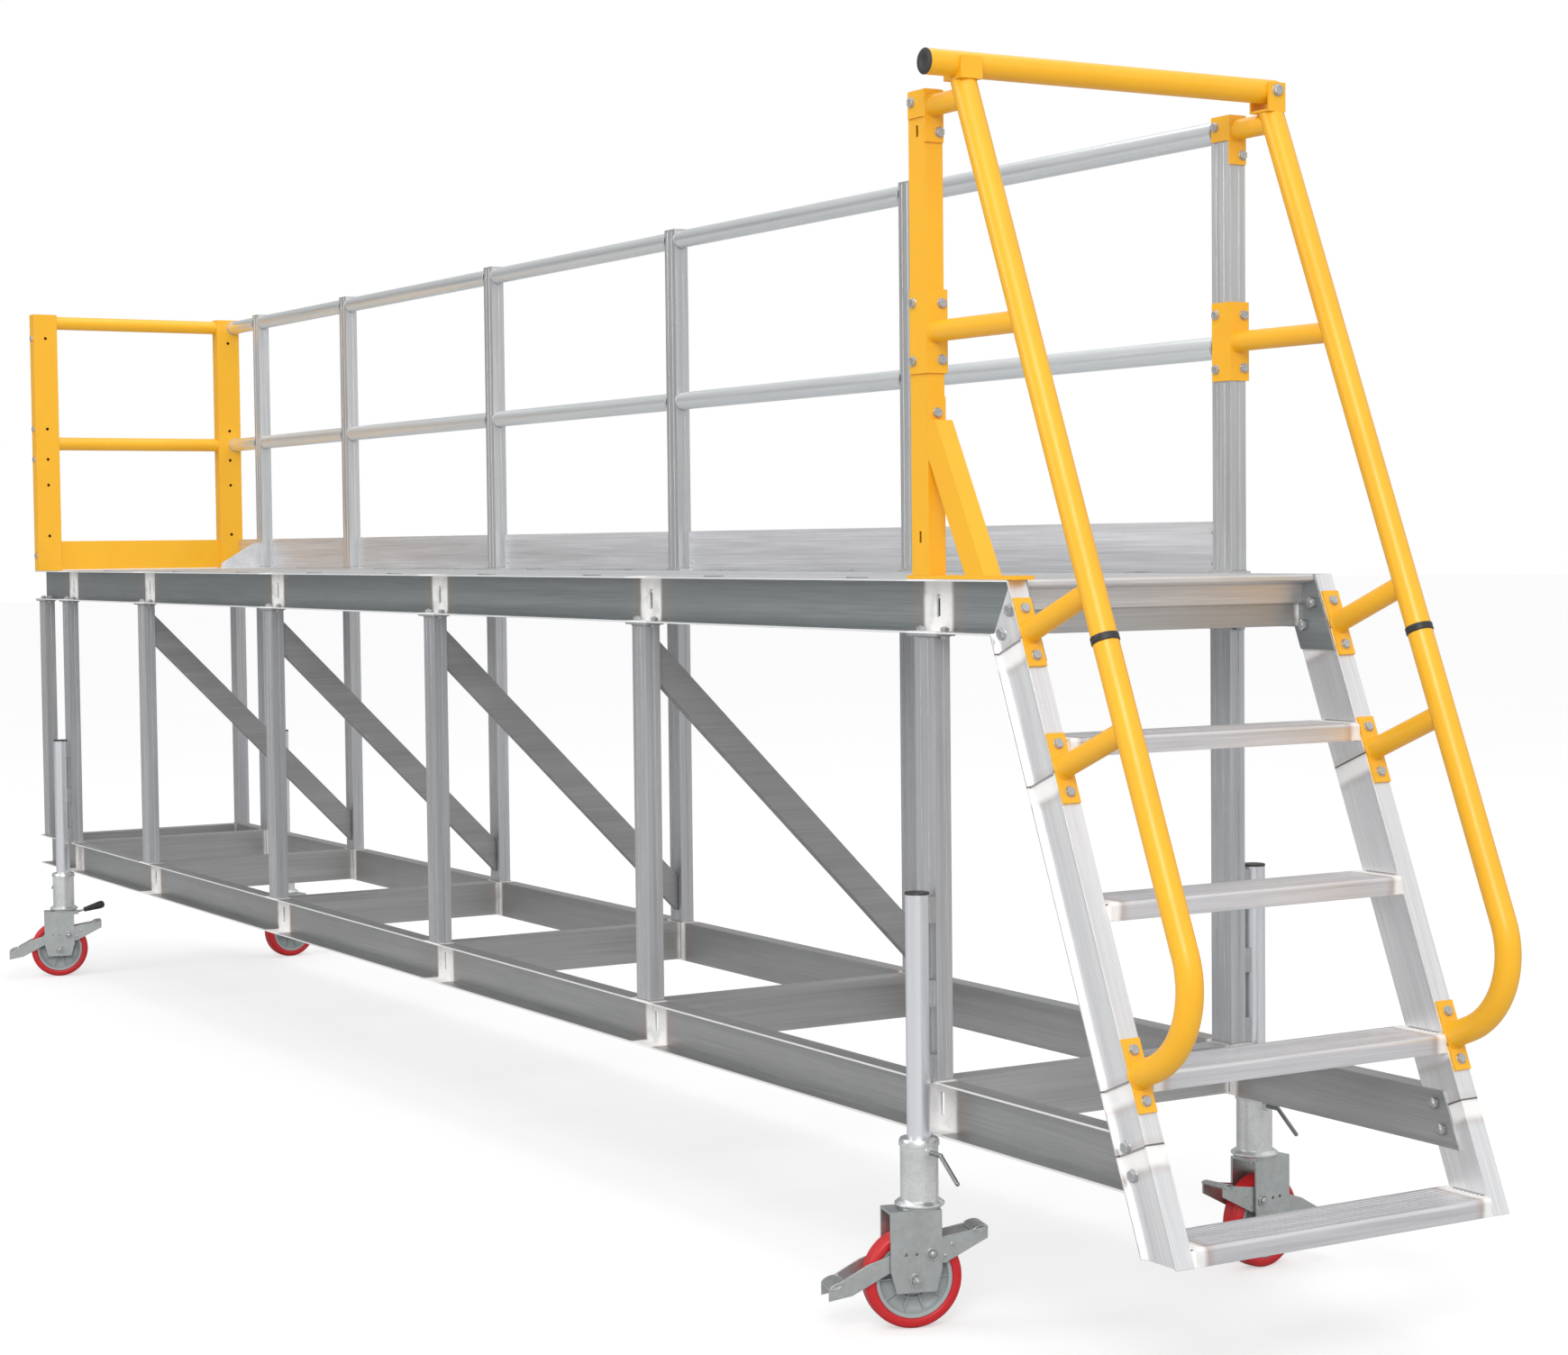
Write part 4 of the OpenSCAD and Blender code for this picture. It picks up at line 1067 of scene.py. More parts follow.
@dataclass
class Welds:
    """Weld beads of the deck frame, the legs, the posts, the stair and the rails."""

    plan: Plan
    maker: Maker
    unit: float = 16.0
    bead_r: float = 2.6
    stub_r: float = 21.0
    tube_bead: float = 2.4
    stub_bead: float = 2.8

    def unit_bead(self) -> bpy.types.Object:
        """Model a short rippled stretch of bead along Z.

        Returns:
            The bead.
        """
        r = self.bead_r
        profile = [(r * 0.72, -1.0)]
        for k in range(3):
            z = k * self.unit / 3
            profile += [(r, z + 1.0), (r * 0.78, z + self.unit / 3)]
        profile.append((r * 0.5, self.unit + 0.6))
        return turned(profile, 6)

    def line(self, start: Vector, end: Vector) -> list[Matrix]:
        """Places of unit beads from one point to another.

        Args:
            start: first point, in metres.
            end: last point, in metres.

        Returns:
            The matrices, stretched to fill the length.
        """
        run = end - start
        count = max(1, round(run.length / (self.unit * MM)))
        stretch = Matrix.Diagonal((1, 1, run.length / (count * self.unit * MM), 1))
        return [aimed(start + run * (k / count), run.normalized()) @ stretch for k in range(count)]

    def box_line(self, x: float, y0: float, y1: float, half: float, z: float, side: Side) -> list[Matrix]:
        """Places of a bead round a rectangular foot.

        Args:
            x: centre along the deck.
            y0: nearer face across.
            y1: further face across.
            half: half the width along the deck.
            z: height.
            side: side that y is measured from.

        Returns:
            The matrices.
        """
        spot = self.plan.spot
        corners = [spot(x - half, y0, z, side), spot(x + half, y0, z, side), spot(x + half, y1, z, side),
                   spot(x - half, y1, z, side)]
        out = []
        for a, b in zip(corners, corners[1:] + corners[:1]):
            out += self.line(a, b)
        return out

    def frame_places(self) -> list[Matrix]:
        """Places of the beads on legs, cross-beams and guard posts.

        Returns:
            The matrices.
        """
        plan = self.plan
        out = []
        leg_top = plan.deck_h - plan.beam_h - plan.leg_plate_t
        for side in Side:
            for x in plan.leg_places:
                for z in (plan.chassis_h + 0.6, leg_top - 0.6):
                    back = plan.leg_inset + plan.leg_d
                    out += self.box_line(x, plan.leg_inset, back, plan.leg_w / 2, z, side)
            for x in [-plan.end_overhang + plan.cross_w / 2] + plan.stations:
                for dx in (-plan.cross_w / 2, plan.cross_w / 2):
                    for low, high in ((plan.chassis_h - plan.beam_h + 6, plan.chassis_h - 4),
                                      (plan.deck_h - plan.beam_h + 5, plan.deck_h - 38)):
                        out += self.line(plan.spot(x + dx, plan.flange_w, low, side),
                                         plan.spot(x + dx, plan.flange_w, high, side))
        for x in plan.stations:
            out += self.box_line(x, 0.0, plan.post_d, plan.post_w / 2, plan.deck_h + 5.6, Side.FAR)
        return out

    def stair_places(self) -> list[Matrix]:
        """Places of the beads on the treads and across the stiles.

        Returns:
            The matrices.
        """
        plan = self.plan
        out = []
        for side in Side:
            inner = plan.flange_w - plan.beam_t + 0.4
            for k in range(1, plan.tread_count + 1):
                for z in (plan.deck_h - k * plan.riser, plan.deck_h - k * plan.riser - plan.tread_t):
                    front = plan.deck_end + (plan.deck_h - z) / math.tan(plan.slope)
                    out += self.line(plan.spot(front - 10, inner, z, side),
                                     plan.spot(front - 92, inner, z, side))
            across = plan.stile_recess if side is Side.NEAR else plan.deck_w - plan.stile_recess
            frame = plan.stair(across)
            for s in StairLook.seams:
                low, high = (frame @ (Vector((s, 0, z)) * MM) for z in (-plan.stile_w + 5, -5))
                out += self.line(low, high)
        return out

    def plug_places(self) -> list[Matrix]:
        """Places of the plug welds in the slots of the long beams.

        Returns:
            The matrices.
        """
        plan = self.plan
        depth = plan.flange_w - 1.5
        return [Matrix.Translation(plan.spot(x, depth, z - plan.beam_h / 2, side))
                for side in Side for x in plan.stations for z in (plan.deck_h, plan.chassis_h)]

    def plug(self) -> bpy.types.Object:
        """Model an uneven oval plug weld that stands upright.

        Returns:
            The plug.
        """
        clear_selection()
        bpy.ops.mesh.primitive_ico_sphere_add(subdivisions=3, radius=1.0)
        bpy.ops.object.mode_set(mode="EDIT")
        bpy.ops.mesh.select_all(action="SELECT")
        bpy.ops.transform.vertex_random(offset=0.09, seed=4)
        bpy.ops.transform.resize(value=(5.4 * MM, 3.2 * MM, 21.0 * MM))
        bpy.ops.object.mode_set(mode="OBJECT")
        return bpy.context.object

    def collar(self, major: float, minor: float) -> bpy.types.Object:
        """Model an uneven bead round a tube.

        Args:
            major: radius of the tube.
            minor: radius of the bead.

        Returns:
            The collar, round Z.
        """
        clear_selection()
        bpy.ops.mesh.primitive_torus_add(major_radius=major * MM, minor_radius=minor * MM,
                                         major_segments=40, minor_segments=8)
        bpy.ops.object.mode_set(mode="EDIT")
        bpy.ops.mesh.select_all(action="SELECT")
        bpy.ops.transform.vertex_random(offset=minor * 0.16 * MM, seed=7)
        bpy.ops.object.mode_set(mode="OBJECT")
        return bpy.context.object

    def rail_places(self) -> list[Matrix]:
        """Places of the collars where guardrails meet their posts.

        Returns:
            The matrices.
        """
        plan = self.plan
        heights = (plan.deck_h + plan.guard_h - plan.rail_d / 2, plan.deck_h + plan.mid_h)
        faces = [-plan.end_overhang + 50.0]
        for k, x in enumerate(plan.stations):
            faces.append(x - plan.post_w / 2)
            if k < len(plan.stations) - 1:
                faces.append(x + plan.post_w / 2)
        return [aimed(plan.spot(x, plan.post_d / 2, z, Side.FAR), AHEAD) for x in faces for z in heights]

    def stub_places(self) -> list[Matrix]:
        """Places of the painted collars at the foot of each handrail stub.

        Returns:
            The matrices.
        """
        plan = self.plan
        top = plan.bar_z - plan.bar_rise - 5.0 - self.stub_r
        out = []
        for across in plan.rail_lines:
            for z in (top, plan.deck_h + 485.0):
                out.append(aimed(plan.spot(plan.last + plan.post_w / 2 + 4.4, across, z), AHEAD))
            for s in plan.stile_feet:
                out.append(plan.stair(across) @ Matrix.Translation(Vector((s, 0, 6.4)) * MM))
        return out

    def build(self) -> None:
        """Model every bead."""
        plan = self.plan
        bare, painted = ("weld", "mill_aluminium"), ("weld_painted", "yellow_coat")
        feet = [plan.stair(across) @ Matrix.Translation(Vector((plan.low_plate, 0, 6.4)) * MM)
                for across in plan.rail_lines]
        rows = ((self.unit_bead, (), self.frame_places(), "frame_welds", *bare),
                (self.unit_bead, (), self.stair_places(), "stair_welds", *bare),
                (self.plug, (), self.plug_places(), "plug_welds", "weld_dark", "mill_aluminium"),
                (self.collar, (plan.rail_d / 2, self.tube_bead), self.rail_places(), "rail_welds", *bare),
                (self.collar, (self.stub_r, self.stub_bead), self.stub_places(), "stub_welds", *painted),
                (self.collar, (plan.hand_d / 2, self.stub_bead), feet, "rail_foot_welds", *painted))
        for model, sizes, places, name, look, slot in rows:
            self.maker.finish(repeated(model(*sizes), places), name, look, "frame", slot)


@dataclass
class StairLook:
    """The bands round the handrails and the small parts of the drop bar."""

    plan: Plan
    maker: Maker
    seams: ClassVar[tuple[float, ...]] = (115.5, 381.6, 965.7, 1084.6)
    band_w: float = 14.0
    cap_l: float = 36.0
    bar_past: float = 72.0
    ear_gap: float = 0.3
    ear_t: float = 5.0
    rivet_out: float = 62.0
    plate_face: float = 14.0

    def bands(self) -> bpy.types.Object:
        """Model the black bands between upper and lower handrails.

        Returns:
            Both bands as one piece.
        """
        plan = self.plan
        r, half = plan.hand_d / 2, self.band_w / 2
        lower = [(r - 1, -half), (r + 1.4, -half), (r + 2.0, -half + 1), (r + 2.0, -1.4), (r + 1.4, -0.8)]
        band = turned(lower + [(radius, -z) for radius, z in reversed(lower)], 48)
        run = 106.0 / math.sin(plan.slope) + plan.hand_off / math.tan(plan.slope)
        turn = Matrix.Rotation(QUARTER, 4, "Y")
        places = [plan.stair(across) @ Matrix.Translation(Vector((run, 0, plan.hand_off)) * MM) @ turn
                  for across in plan.rail_lines]
        return repeated(band, places)

    def bar_cap(self) -> bpy.types.Object:
        """Model the plug in the free end of the drop bar.

        Returns:
            The plug.
        """
        plan = self.plan
        r = plan.hand_d / 2
        cap = turned([(r * 0.45, 0.5), (r * 0.50, 0.0), (r * 0.84, 0.5), (r * 0.96, 1.5), (r + 0.5, 3.2),
                      (r + 0.5, 4.0), (r - 3.1, 4.0), (r - 3.1, self.cap_l - 1.5), (r - 4.5, self.cap_l)], 48)
        return moved(cap, aimed(plan.spot(plan.bar_x, -self.bar_past, plan.bar_z), Side.FAR.outward))

    def bar_pin(self) -> bpy.types.Object:
        """Model the hinge bolt of the drop bar.

        Returns:
            The bolt.
        """
        plan = self.plan
        ear = plan.hand_d / 2 + self.ear_gap + self.ear_t
        bolt = Fasteners(plan, self.maker).bolt(12.0, 2 * ear, True)
        head = plan.spot(plan.bar_x + ear, plan.rail_lines[1] - self.ear_t, plan.bar_z)
        return moved(bolt, aimed(head, AHEAD))

    def rivets(self) -> bpy.types.Object:
        """Model the domed rivets that hold the kick plate to its posts.

        Returns:
            All rivets as one piece.
        """
        plan = self.plan
        dome = turned([(4.4, 0.0), (4.4, 0.5), (3.8, 1.5), (2.4, 2.3), (0.9, 2.6)], 16)
        places = []
        for k, x in enumerate(plan.stations):
            for dx in (-self.rivet_out, self.rivet_out):
                if k < len(plan.stations) - 1 or dx < 0:
                    for z in (22.0, 88.0):
                        point = plan.spot(x + dx, self.plate_face, plan.deck_h + z, Side.FAR)
                        places.append(aimed(point, Side.NEAR.outward))
        return repeated(dome, places)

    def build(self) -> None:
        """Model the bands, the plug, the hinge bolt and the rivets."""
        make = self.maker.finish
        make(self.bands(), "handrail_bands", "black", "frame", "black_plastic", ("handrail_rings",))
        make(self.bar_cap(), "drop_bar_plug", "black", "drop_bar", "black_plastic", ("bar_end_cap",))
        make(self.bar_pin(), "drop_bar_pin", "fastener", "frame", "fastener_zinc", ("bar_pivot",))
        make(self.rivets(), "kick_plate_rivets", "fastener", "frame", "mill_aluminium")


@dataclass
class CasterLook:
    """Wheels, collars, caps, rivets, pedal lips and lock levers of the casters."""

    plan: Plan
    maker: Maker
    wheel_r: float = 100.0
    rim_r: float = 79.0
    tyre_half: float = 23.0
    boss_half: float = 30.7
    ribs: int = 10
    tube_top: float = 860.0
    socket_top: float = 375.0
    lever_rise: float = 15.0
    fork_face: float = 36.0
    arm_face: float = 29.5
    arm_rivets: tuple[tuple[float, float], ...] = ((62.0, 44.0), (76.0, 66.0))
    pivot: tuple[float, float] = (33.0, 51.0)

    def wheel_place(self, key: str) -> Matrix:
        """Place of a wheel whose axis is modelled along Z.

        Args:
            key: the caster.

        Returns:
            The matrix.
        """
        plan = self.plan
        shift = Matrix.Translation(Vector((-plan.trail, 0, plan.axle_z)) * MM)
        return plan.caster(key) @ shift @ Matrix.Rotation(QUARTER, 4, "X")

    def tyre(self) -> bpy.types.Object:
        """Model the tyre with rounded shoulders and a mould line.

        Returns:
            The tyre round Z.
        """
        r, h = self.wheel_r, self.tyre_half
        right = [(self.rim_r, h - 3), (self.rim_r + 1.5, h - 1), (self.rim_r + 4, h), (r - 10, h),
                 (r - 5.5, h - 1.2), (r - 2.2, h - 4.2), (r - 0.6, h - 8), (r, h - 13), (r, 0.8),
                 (r - 0.35, 0.0)]
        left = [(radius, -z) for radius, z in reversed(right[:-1])]
        return turned(right + left, 96, ring=True)

    def core(self) -> bpy.types.Object:
        """Model the wheel's core: rim, web, boss and radial ribs.

        Returns:
            The core round Z.
        """
        rim, boss = self.rim_r, self.boss_half
        right = [(6.1, boss), (12.0, boss), (15.5, boss - 1.2), (17.0, boss - 4), (17.5, 12.0), (20.0, 8.0),
                 (26.0, 5.5), (58.0, 5.0), (65.0, 7.0), (69.5, 12.0), (71.0, 19.0), (73.0, 20.0),
                 (rim - 0.4, 20.0)]
        left = [(radius, -z) for radius, z in reversed(right)]
        body = turned(right + left, 72, ring=True)
        rib = moved(rounded_bar((54.0, 3.6, 25.0), 1.2), Matrix.Translation(Vector((44.0, 0, 0)) * MM))
        turns = [Matrix.Rotation(math.tau * k / self.ribs, 4, "Z") for k in range(self.ribs)]
        ring = turned([(38.0, -9.5), (42.0, -9.5), (42.0, 9.5), (38.0, 9.5)], 48, ring=True)
        return joined([body, repeated(rib, turns), ring])

    def lip(self) -> bpy.types.Object:
        """Model the rolled lip at one end of a pedal: a flattened tube with open ends.

        Returns:
            The lip, its length along Y.
        """
        half, outer, inner = 32.0, 6.2, 4.4
        tube = turned([(inner, -half), (outer - 0.5, -half), (outer, -half + 0.5), (outer, half - 0.5),
                       (outer - 0.5, half), (inner, half)], 40, ring=True)
        flatten = Matrix.Diagonal((2.6, 1.0, 1.0, 1.0))
        return moved(tube, flatten @ Matrix.Rotation(QUARTER, 4, "X"))

    def lip_places(self, key: str) -> list[Matrix]:
        """Places of the two rolled lips of a pedal.

        Args:
            key: the caster.

        Returns:
            The matrices.
        """
        plan = self.plan
        base = plan.caster(key) @ Matrix.Translation(Vector((-plan.trail, 0, plan.axle_z)) * MM)
        tilt = Matrix.Rotation(-math.radians(11.2), 4, "Y")
        low = Matrix.Rotation(-math.radians(22.3), 4, "Y")
        return [base @ Matrix.Translation(Vector((134.0, 0, 93.4)) * MM) @ tilt,
                base @ Matrix.Translation(Vector((-162.0, 0, -0.9)) * MM) @ low]

    def side_places(self, spots: tuple[tuple[float, float], ...], face: float) -> list[Matrix]:
        """Places on both outer faces of a fork or a pedal, in the caster's frame.

        Args:
            spots: offsets along the trail and up from the axle, in millimetres.
            face: distance of the faces from the middle, in millimetres.

        Returns:
            The matrices, with Z out of each face.
        """
        plan = self.plan
        out = []
        for sign in (-1.0, 1.0):
            for dx, dz in spots:
                point = Vector((-plan.trail + dx, sign * face, plan.axle_z + dz)) * MM
                out.append(aimed(point, Vector((0, sign, 0))))
        return out

    def pivot_ends(self) -> bpy.types.Object:
        """Model the ring and the riveted end of the pedal's pivot on both fork plates.

        Returns:
            The piece, in the caster's frame.
        """
        ring = turned([(9.2, 0.0), (12.6, 0.0), (13.2, 0.6), (13.2, 2.2), (12.4, 3.0), (10.0, 3.0),
                       (9.2, 2.2)], 36, ring=True)
        dome = turned([(6.2, 3.6), (6.2, 4.6), (5.4, 6.0), (3.4, 7.0), (1.2, 7.4)], 24)
        return repeated(joined([ring, dome]), self.side_places((self.pivot,), self.fork_face))

    def axle_ends(self) -> list[bpy.types.Object]:
        """Model the washers under the axle's nuts and the domed ends of the axle.

        Returns:
            The pieces, in the caster's frame.
        """
        out = []
        for face in self.side_places(((0.0, 0.0),), self.fork_face):
            washer = turned([(10.4, 0.0), (15.2, 0.0), (15.8, 0.5), (15.8, 1.7), (15.2, 2.2), (10.4, 2.2)],
                            36, ring=True)
            tip = turned([(5.6, 7.5), (5.9, 8.2), (5.9, 11.0), (5.2, 12.4), (3.4, 13.2), (1.2, 13.4)], 24)
            out += [moved(washer, face), moved(tip, face)]
        return out

    def lever(self) -> tuple[bpy.types.Object, bpy.types.Object]:
        """Model the swivel lock's lever and its grip, in the caster's frame.

        Returns:
            The steel lever and the moulded grip.
        """
        pivot = Matrix.Translation(Vector((44.0, 0, 231.0)) * MM)
        eye = turned([(3.1, -6.7), (6.0, -6.7), (6.5, -6.2), (6.5, 6.2), (6.0, 6.7), (3.1, 6.7)],
                     32, ring=True)
        moved(eye, Matrix.Rotation(QUARTER, 4, "X"))
        arm = turned([(3.4, 6.0), (4.0, 7.0), (4.0, 36.0)], 20)
        profile = [(5.0, 27.0), (7.4, 27.4), (8.0, 28.5)]
        for k in range(8):
            z, r = 30.6 + 7.4 * k, 8.0 + 0.75 * k
            profile += [(r, z), (r + 0.9, z + 1.6), (r + 0.9, z + 4.4), (r + 0.1, z + 6.0)]
        profile += [(13.6, 92.0), (13.2, 95.5), (11.2, 99.6), (7.4, 102.8), (2.4, 104.0)]
        grip = turned(profile, 28)
        lean = Matrix.Rotation(math.radians(90.0 - self.lever_rise), 4, "Y")
        steel = joined([eye, moved(arm, lean)])
        return moved(steel, pivot), moved(grip, pivot @ lean)

    def collars(self) -> bpy.types.Object:
        """Model the rings on top of the caster sockets.

        Returns:
            All four rings as one piece.
        """
        top = self.socket_top
        ring = turned([(24.5, top + 0.05), (38.1, top + 0.05), (38.1, top - 13), (40.4, top - 12),
                       (40.4, top - 3), (37.6, top + 2.0), (24.5, top + 2.2)], 56, ring=True)
        return repeated(ring, [self.plan.caster(key) for key in CASTERS])

    def caps(self) -> bpy.types.Object:
        """Model the caps on the caster tubes.

        Returns:
            All four caps as one piece.
        """
        top = self.tube_top
        cap = turned([(20.0, top - 18), (21.0, top - 17), (21.0, top), (24.65, top), (24.65, top + 3.2),
                      (23.6, top + 4.6), (19.0, top + 5.0), (17.5, top + 4.6), (8.0, top + 4.6)], 48)
        return repeated(cap, [self.plan.caster(key) for key in CASTERS])

    def build(self) -> None:
        """Model all four casters."""
        make = self.maker.finish
        make(self.collars(), "socket_collars", "socket", "frame", "caster_zinc")
        make(self.caps(), "tube_plugs", "black", "frame", "black_plastic", ("caster_tube_caps",))
        for key in CASTERS:
            place = self.plan.caster(key)
            wheel, axis = f"wheel_{key}", self.wheel_place(key)
            make(moved(self.tyre(), axis), f"tyre_ring_{key}", "tyre", wheel, "red_tyre", (f"tyre_{key}",))
            make(moved(self.core(), axis), f"wheel_core_{key}", "hub", wheel, "hub_plastic", (f"hub_{key}",))
            rivet = turned([(4.2, -0.4), (4.2, 0.3), (3.4, 0.9), (1.2, 1.1)], 16)
            spots = self.side_places(self.arm_rivets, self.arm_face)
            studs = repeated(rivet, [place @ spot for spot in spots])
            lips = joined([repeated(self.lip(), self.lip_places(key)), studs])
            make(lips, f"pedal_lips_{key}", "lip", f"pedal_{key}", "caster_zinc")
            parts = [moved(part, place) for part in [self.pivot_ends()] + self.axle_ends()]
            make(joined(parts), f"fork_hardware_{key}", "fastener", f"fork_{key}", "caster_zinc")
            end, side = key.split("_")
            if end == "rear":
                steel, grip = self.lever()
                body = f"swivel_lock_{side}"
                make(moved(steel, place), f"lock_lever_{side}", "zinc", body, "caster_zinc", (body,))
                make(moved(grip, place), f"lock_grip_{side}", "black", body, "black_grip")


# ---------------------------------------------------------------- finishes of the frame


def finishes(plan: Plan) -> dict[str, Finish]:
    """List every finish by its key.

    Args:
        plan: the platform's sizes, for the places of welded zones.

    Returns:
        The finishes.
    """
    legs = tuple(plan.along(x) for x in plan.stations)
    # Half the deck's width: where the painted highlight on the beam flanges' outer lips starts.
    lip = plan.deck_w / 2 * MM
    slope = plan.slope
    foot = plan.along(plan.deck_end) * math.cos(slope) - plan.deck_h * MM * math.sin(slope)
    joints = tuple(foot + s * MM for s in StairLook.seams)
    cleaned = tuple(place + 0.019 for place in joints)
    reach = (plan.deck_w / 2 - plan.flange_w) * MM
    beam = {"zones": legs, "zone_half": 0.050, "painted_highlight_at": lip}
    tube = {"lines": 90.0, "relief": 0.02, "contrast": 0.4}
    return {
        "beam": Aluminium("beam_aluminium", (0.37, 0.40, 0.41), ALONG_X, rough=0.36, **beam),
        "chassis": Aluminium("chassis_aluminium", (0.45, 0.455, 0.455), ALONG_X, rough=0.38, **beam),
        "leg": Aluminium("leg_aluminium", (0.62, 0.63, 0.65), ALONG_Z, rough=0.36, lines=220.0),
        "post": Aluminium("post_aluminium", (0.68, 0.69, 0.70), ALONG_Z, rough=0.36, lines=220.0),
        "rail": Aluminium("rail_aluminium", (0.90, 0.93, 0.95), ALONG_X, rough=0.28, **tube),
        "tube": Aluminium("caster_tube_aluminium", (0.86, 0.88, 0.92), ALONG_Z, rough=0.27, **tube),
        "plate": Aluminium("kick_plate_aluminium", (0.78, 0.78, 0.80), ALONG_X, rough=0.50, lines=200.0),
        "cross": Aluminium("cross_beam_aluminium", (0.52, 0.52, 0.52), ALONG_Y, lines=200.0,
                           zones=(-reach, reach), zone_half=0.008, zone_axis=1, heat=0.45),
        "brace": Aluminium("brace_aluminium", (0.44, 0.44, 0.44), ALONG_Y, rough=0.50, lines=200.0),
        "deck": Aluminium("deck_aluminium", (0.70, 0.71, 0.72), ALONG_X, rough=0.40),
        "nosing": Aluminium("nosing_aluminium", (0.78, 0.77, 0.77), ALONG_Y, rough=0.40),
        "tread": Aluminium("tread_aluminium", (0.80, 0.80, 0.83), ALONG_Y, rough=0.42, lines=240.0,
                           zones=(-reach, reach), zone_half=0.020, zone_axis=1, heat=0.55),
        # The stile gets cleaned zones below its seams and a painted shadow line at each seam.
        "stile": Aluminium("stile_aluminium", (0.94, 0.95, 0.98), ALONG_X, slope=-slope, rough=0.40,
                           zones=cleaned, zone_half=0.017, seams=joints),
        "small": Aluminium("sawn_aluminium", (0.52, 0.53, 0.54), (1.0, 1.0, 0.3), rough=0.46, lines=160.0),
        "yellow": PowderCoat("yellow_powder_coat", (0.98, 0.50, 0.012)),
        "fastener": ZincPlate("fastener_zinc", (0.60, 0.61, 0.62), rough=0.26, crystals=260.0),
        "socket": ZincPlate("socket_zinc", (0.96, 0.98, 0.99), rough=0.22, crystals=240.0),
        "zinc": ZincPlate("caster_zinc", (0.60, 0.63, 0.63), rough=0.34),
        "lip": ZincPlate("pedal_zinc", (0.60, 0.62, 0.62), rough=0.34),
        "screw": ZincPlate("lock_screw_steel", (0.30, 0.31, 0.31), rough=0.36),
        "hub": Moulded("hub_polymer", (0.42, 0.46, 0.47), rough=0.42, dust=0.12),
        "tyre": Moulded("red_polyurethane", (0.66, 0.016, 0.022), rough=0.34, grain=500.0, dust=0.03,
                        gloss=0.4),
        "black": Moulded("black_moulding", (0.014, 0.014, 0.016), rough=0.42, dust=0.06),
        "weld": WeldMetal("bare_weld", (0.50, 0.50, 0.50)),
        "weld_dark": WeldMetal("plug_weld", (0.22, 0.215, 0.21), rough=0.5),
        "weld_painted": WeldMetal("painted_weld", (0.98, 0.50, 0.020), metal=0.0, rough=0.34),
    }


LOOKS: dict[str, tuple[str, ...]] = {
    "beam": ("deck_beams",),
    "chassis": ("chassis_beams",),
    "leg": ("legs",),
    "post": ("guard_posts",),
    "rail": ("guard_rails",),
    "tube": ("caster_tubes",),
    "plate": ("guard_kick_plate", "end_stay"),
    "cross": ("deck_cross_beams", "chassis_cross_beams"),
    "brace": ("sway_braces",),
    "deck": ("deck_planks",),
    "nosing": ("deck_nosing",),
    "tread": ("stair_treads",),
    "stile": ("stair_stiles",),
    "small": ("deck_clips", "leg_plates", "caster_blocks"),
    "yellow": ("end_posts", "end_rails", "end_kick_plate", "corner_post", "corner_strut", "handrails_upper",
               "handrails_lower", "post_brackets", "stile_brackets", "bar_brackets", "drop_bar"),
    "socket": ("caster_sockets",),
    "zinc": tuple(f"{part}_{key}" for part in ("fork", "pedal") for key in CASTERS),
    "screw": tuple(f"lock_screw_{key}" for key in CASTERS),
}


def dress_frame(frame: dict, materials: dict[str, bpy.types.Material]) -> None:
    """Give every shown frame node its finish.

    Args:
        materials: the materials by key.
    """
    for look, nodes in LOOKS.items():
        for node in nodes:
            piece = frame["nodes"][node]
            if not piece.material_slots:
                piece.data.materials.append(materials[look])
            for slot in piece.material_slots:
                slot.material = materials[look]
            LOG.info("%s gets %s", node, look)


# ---------------------------------------------------------------- studio


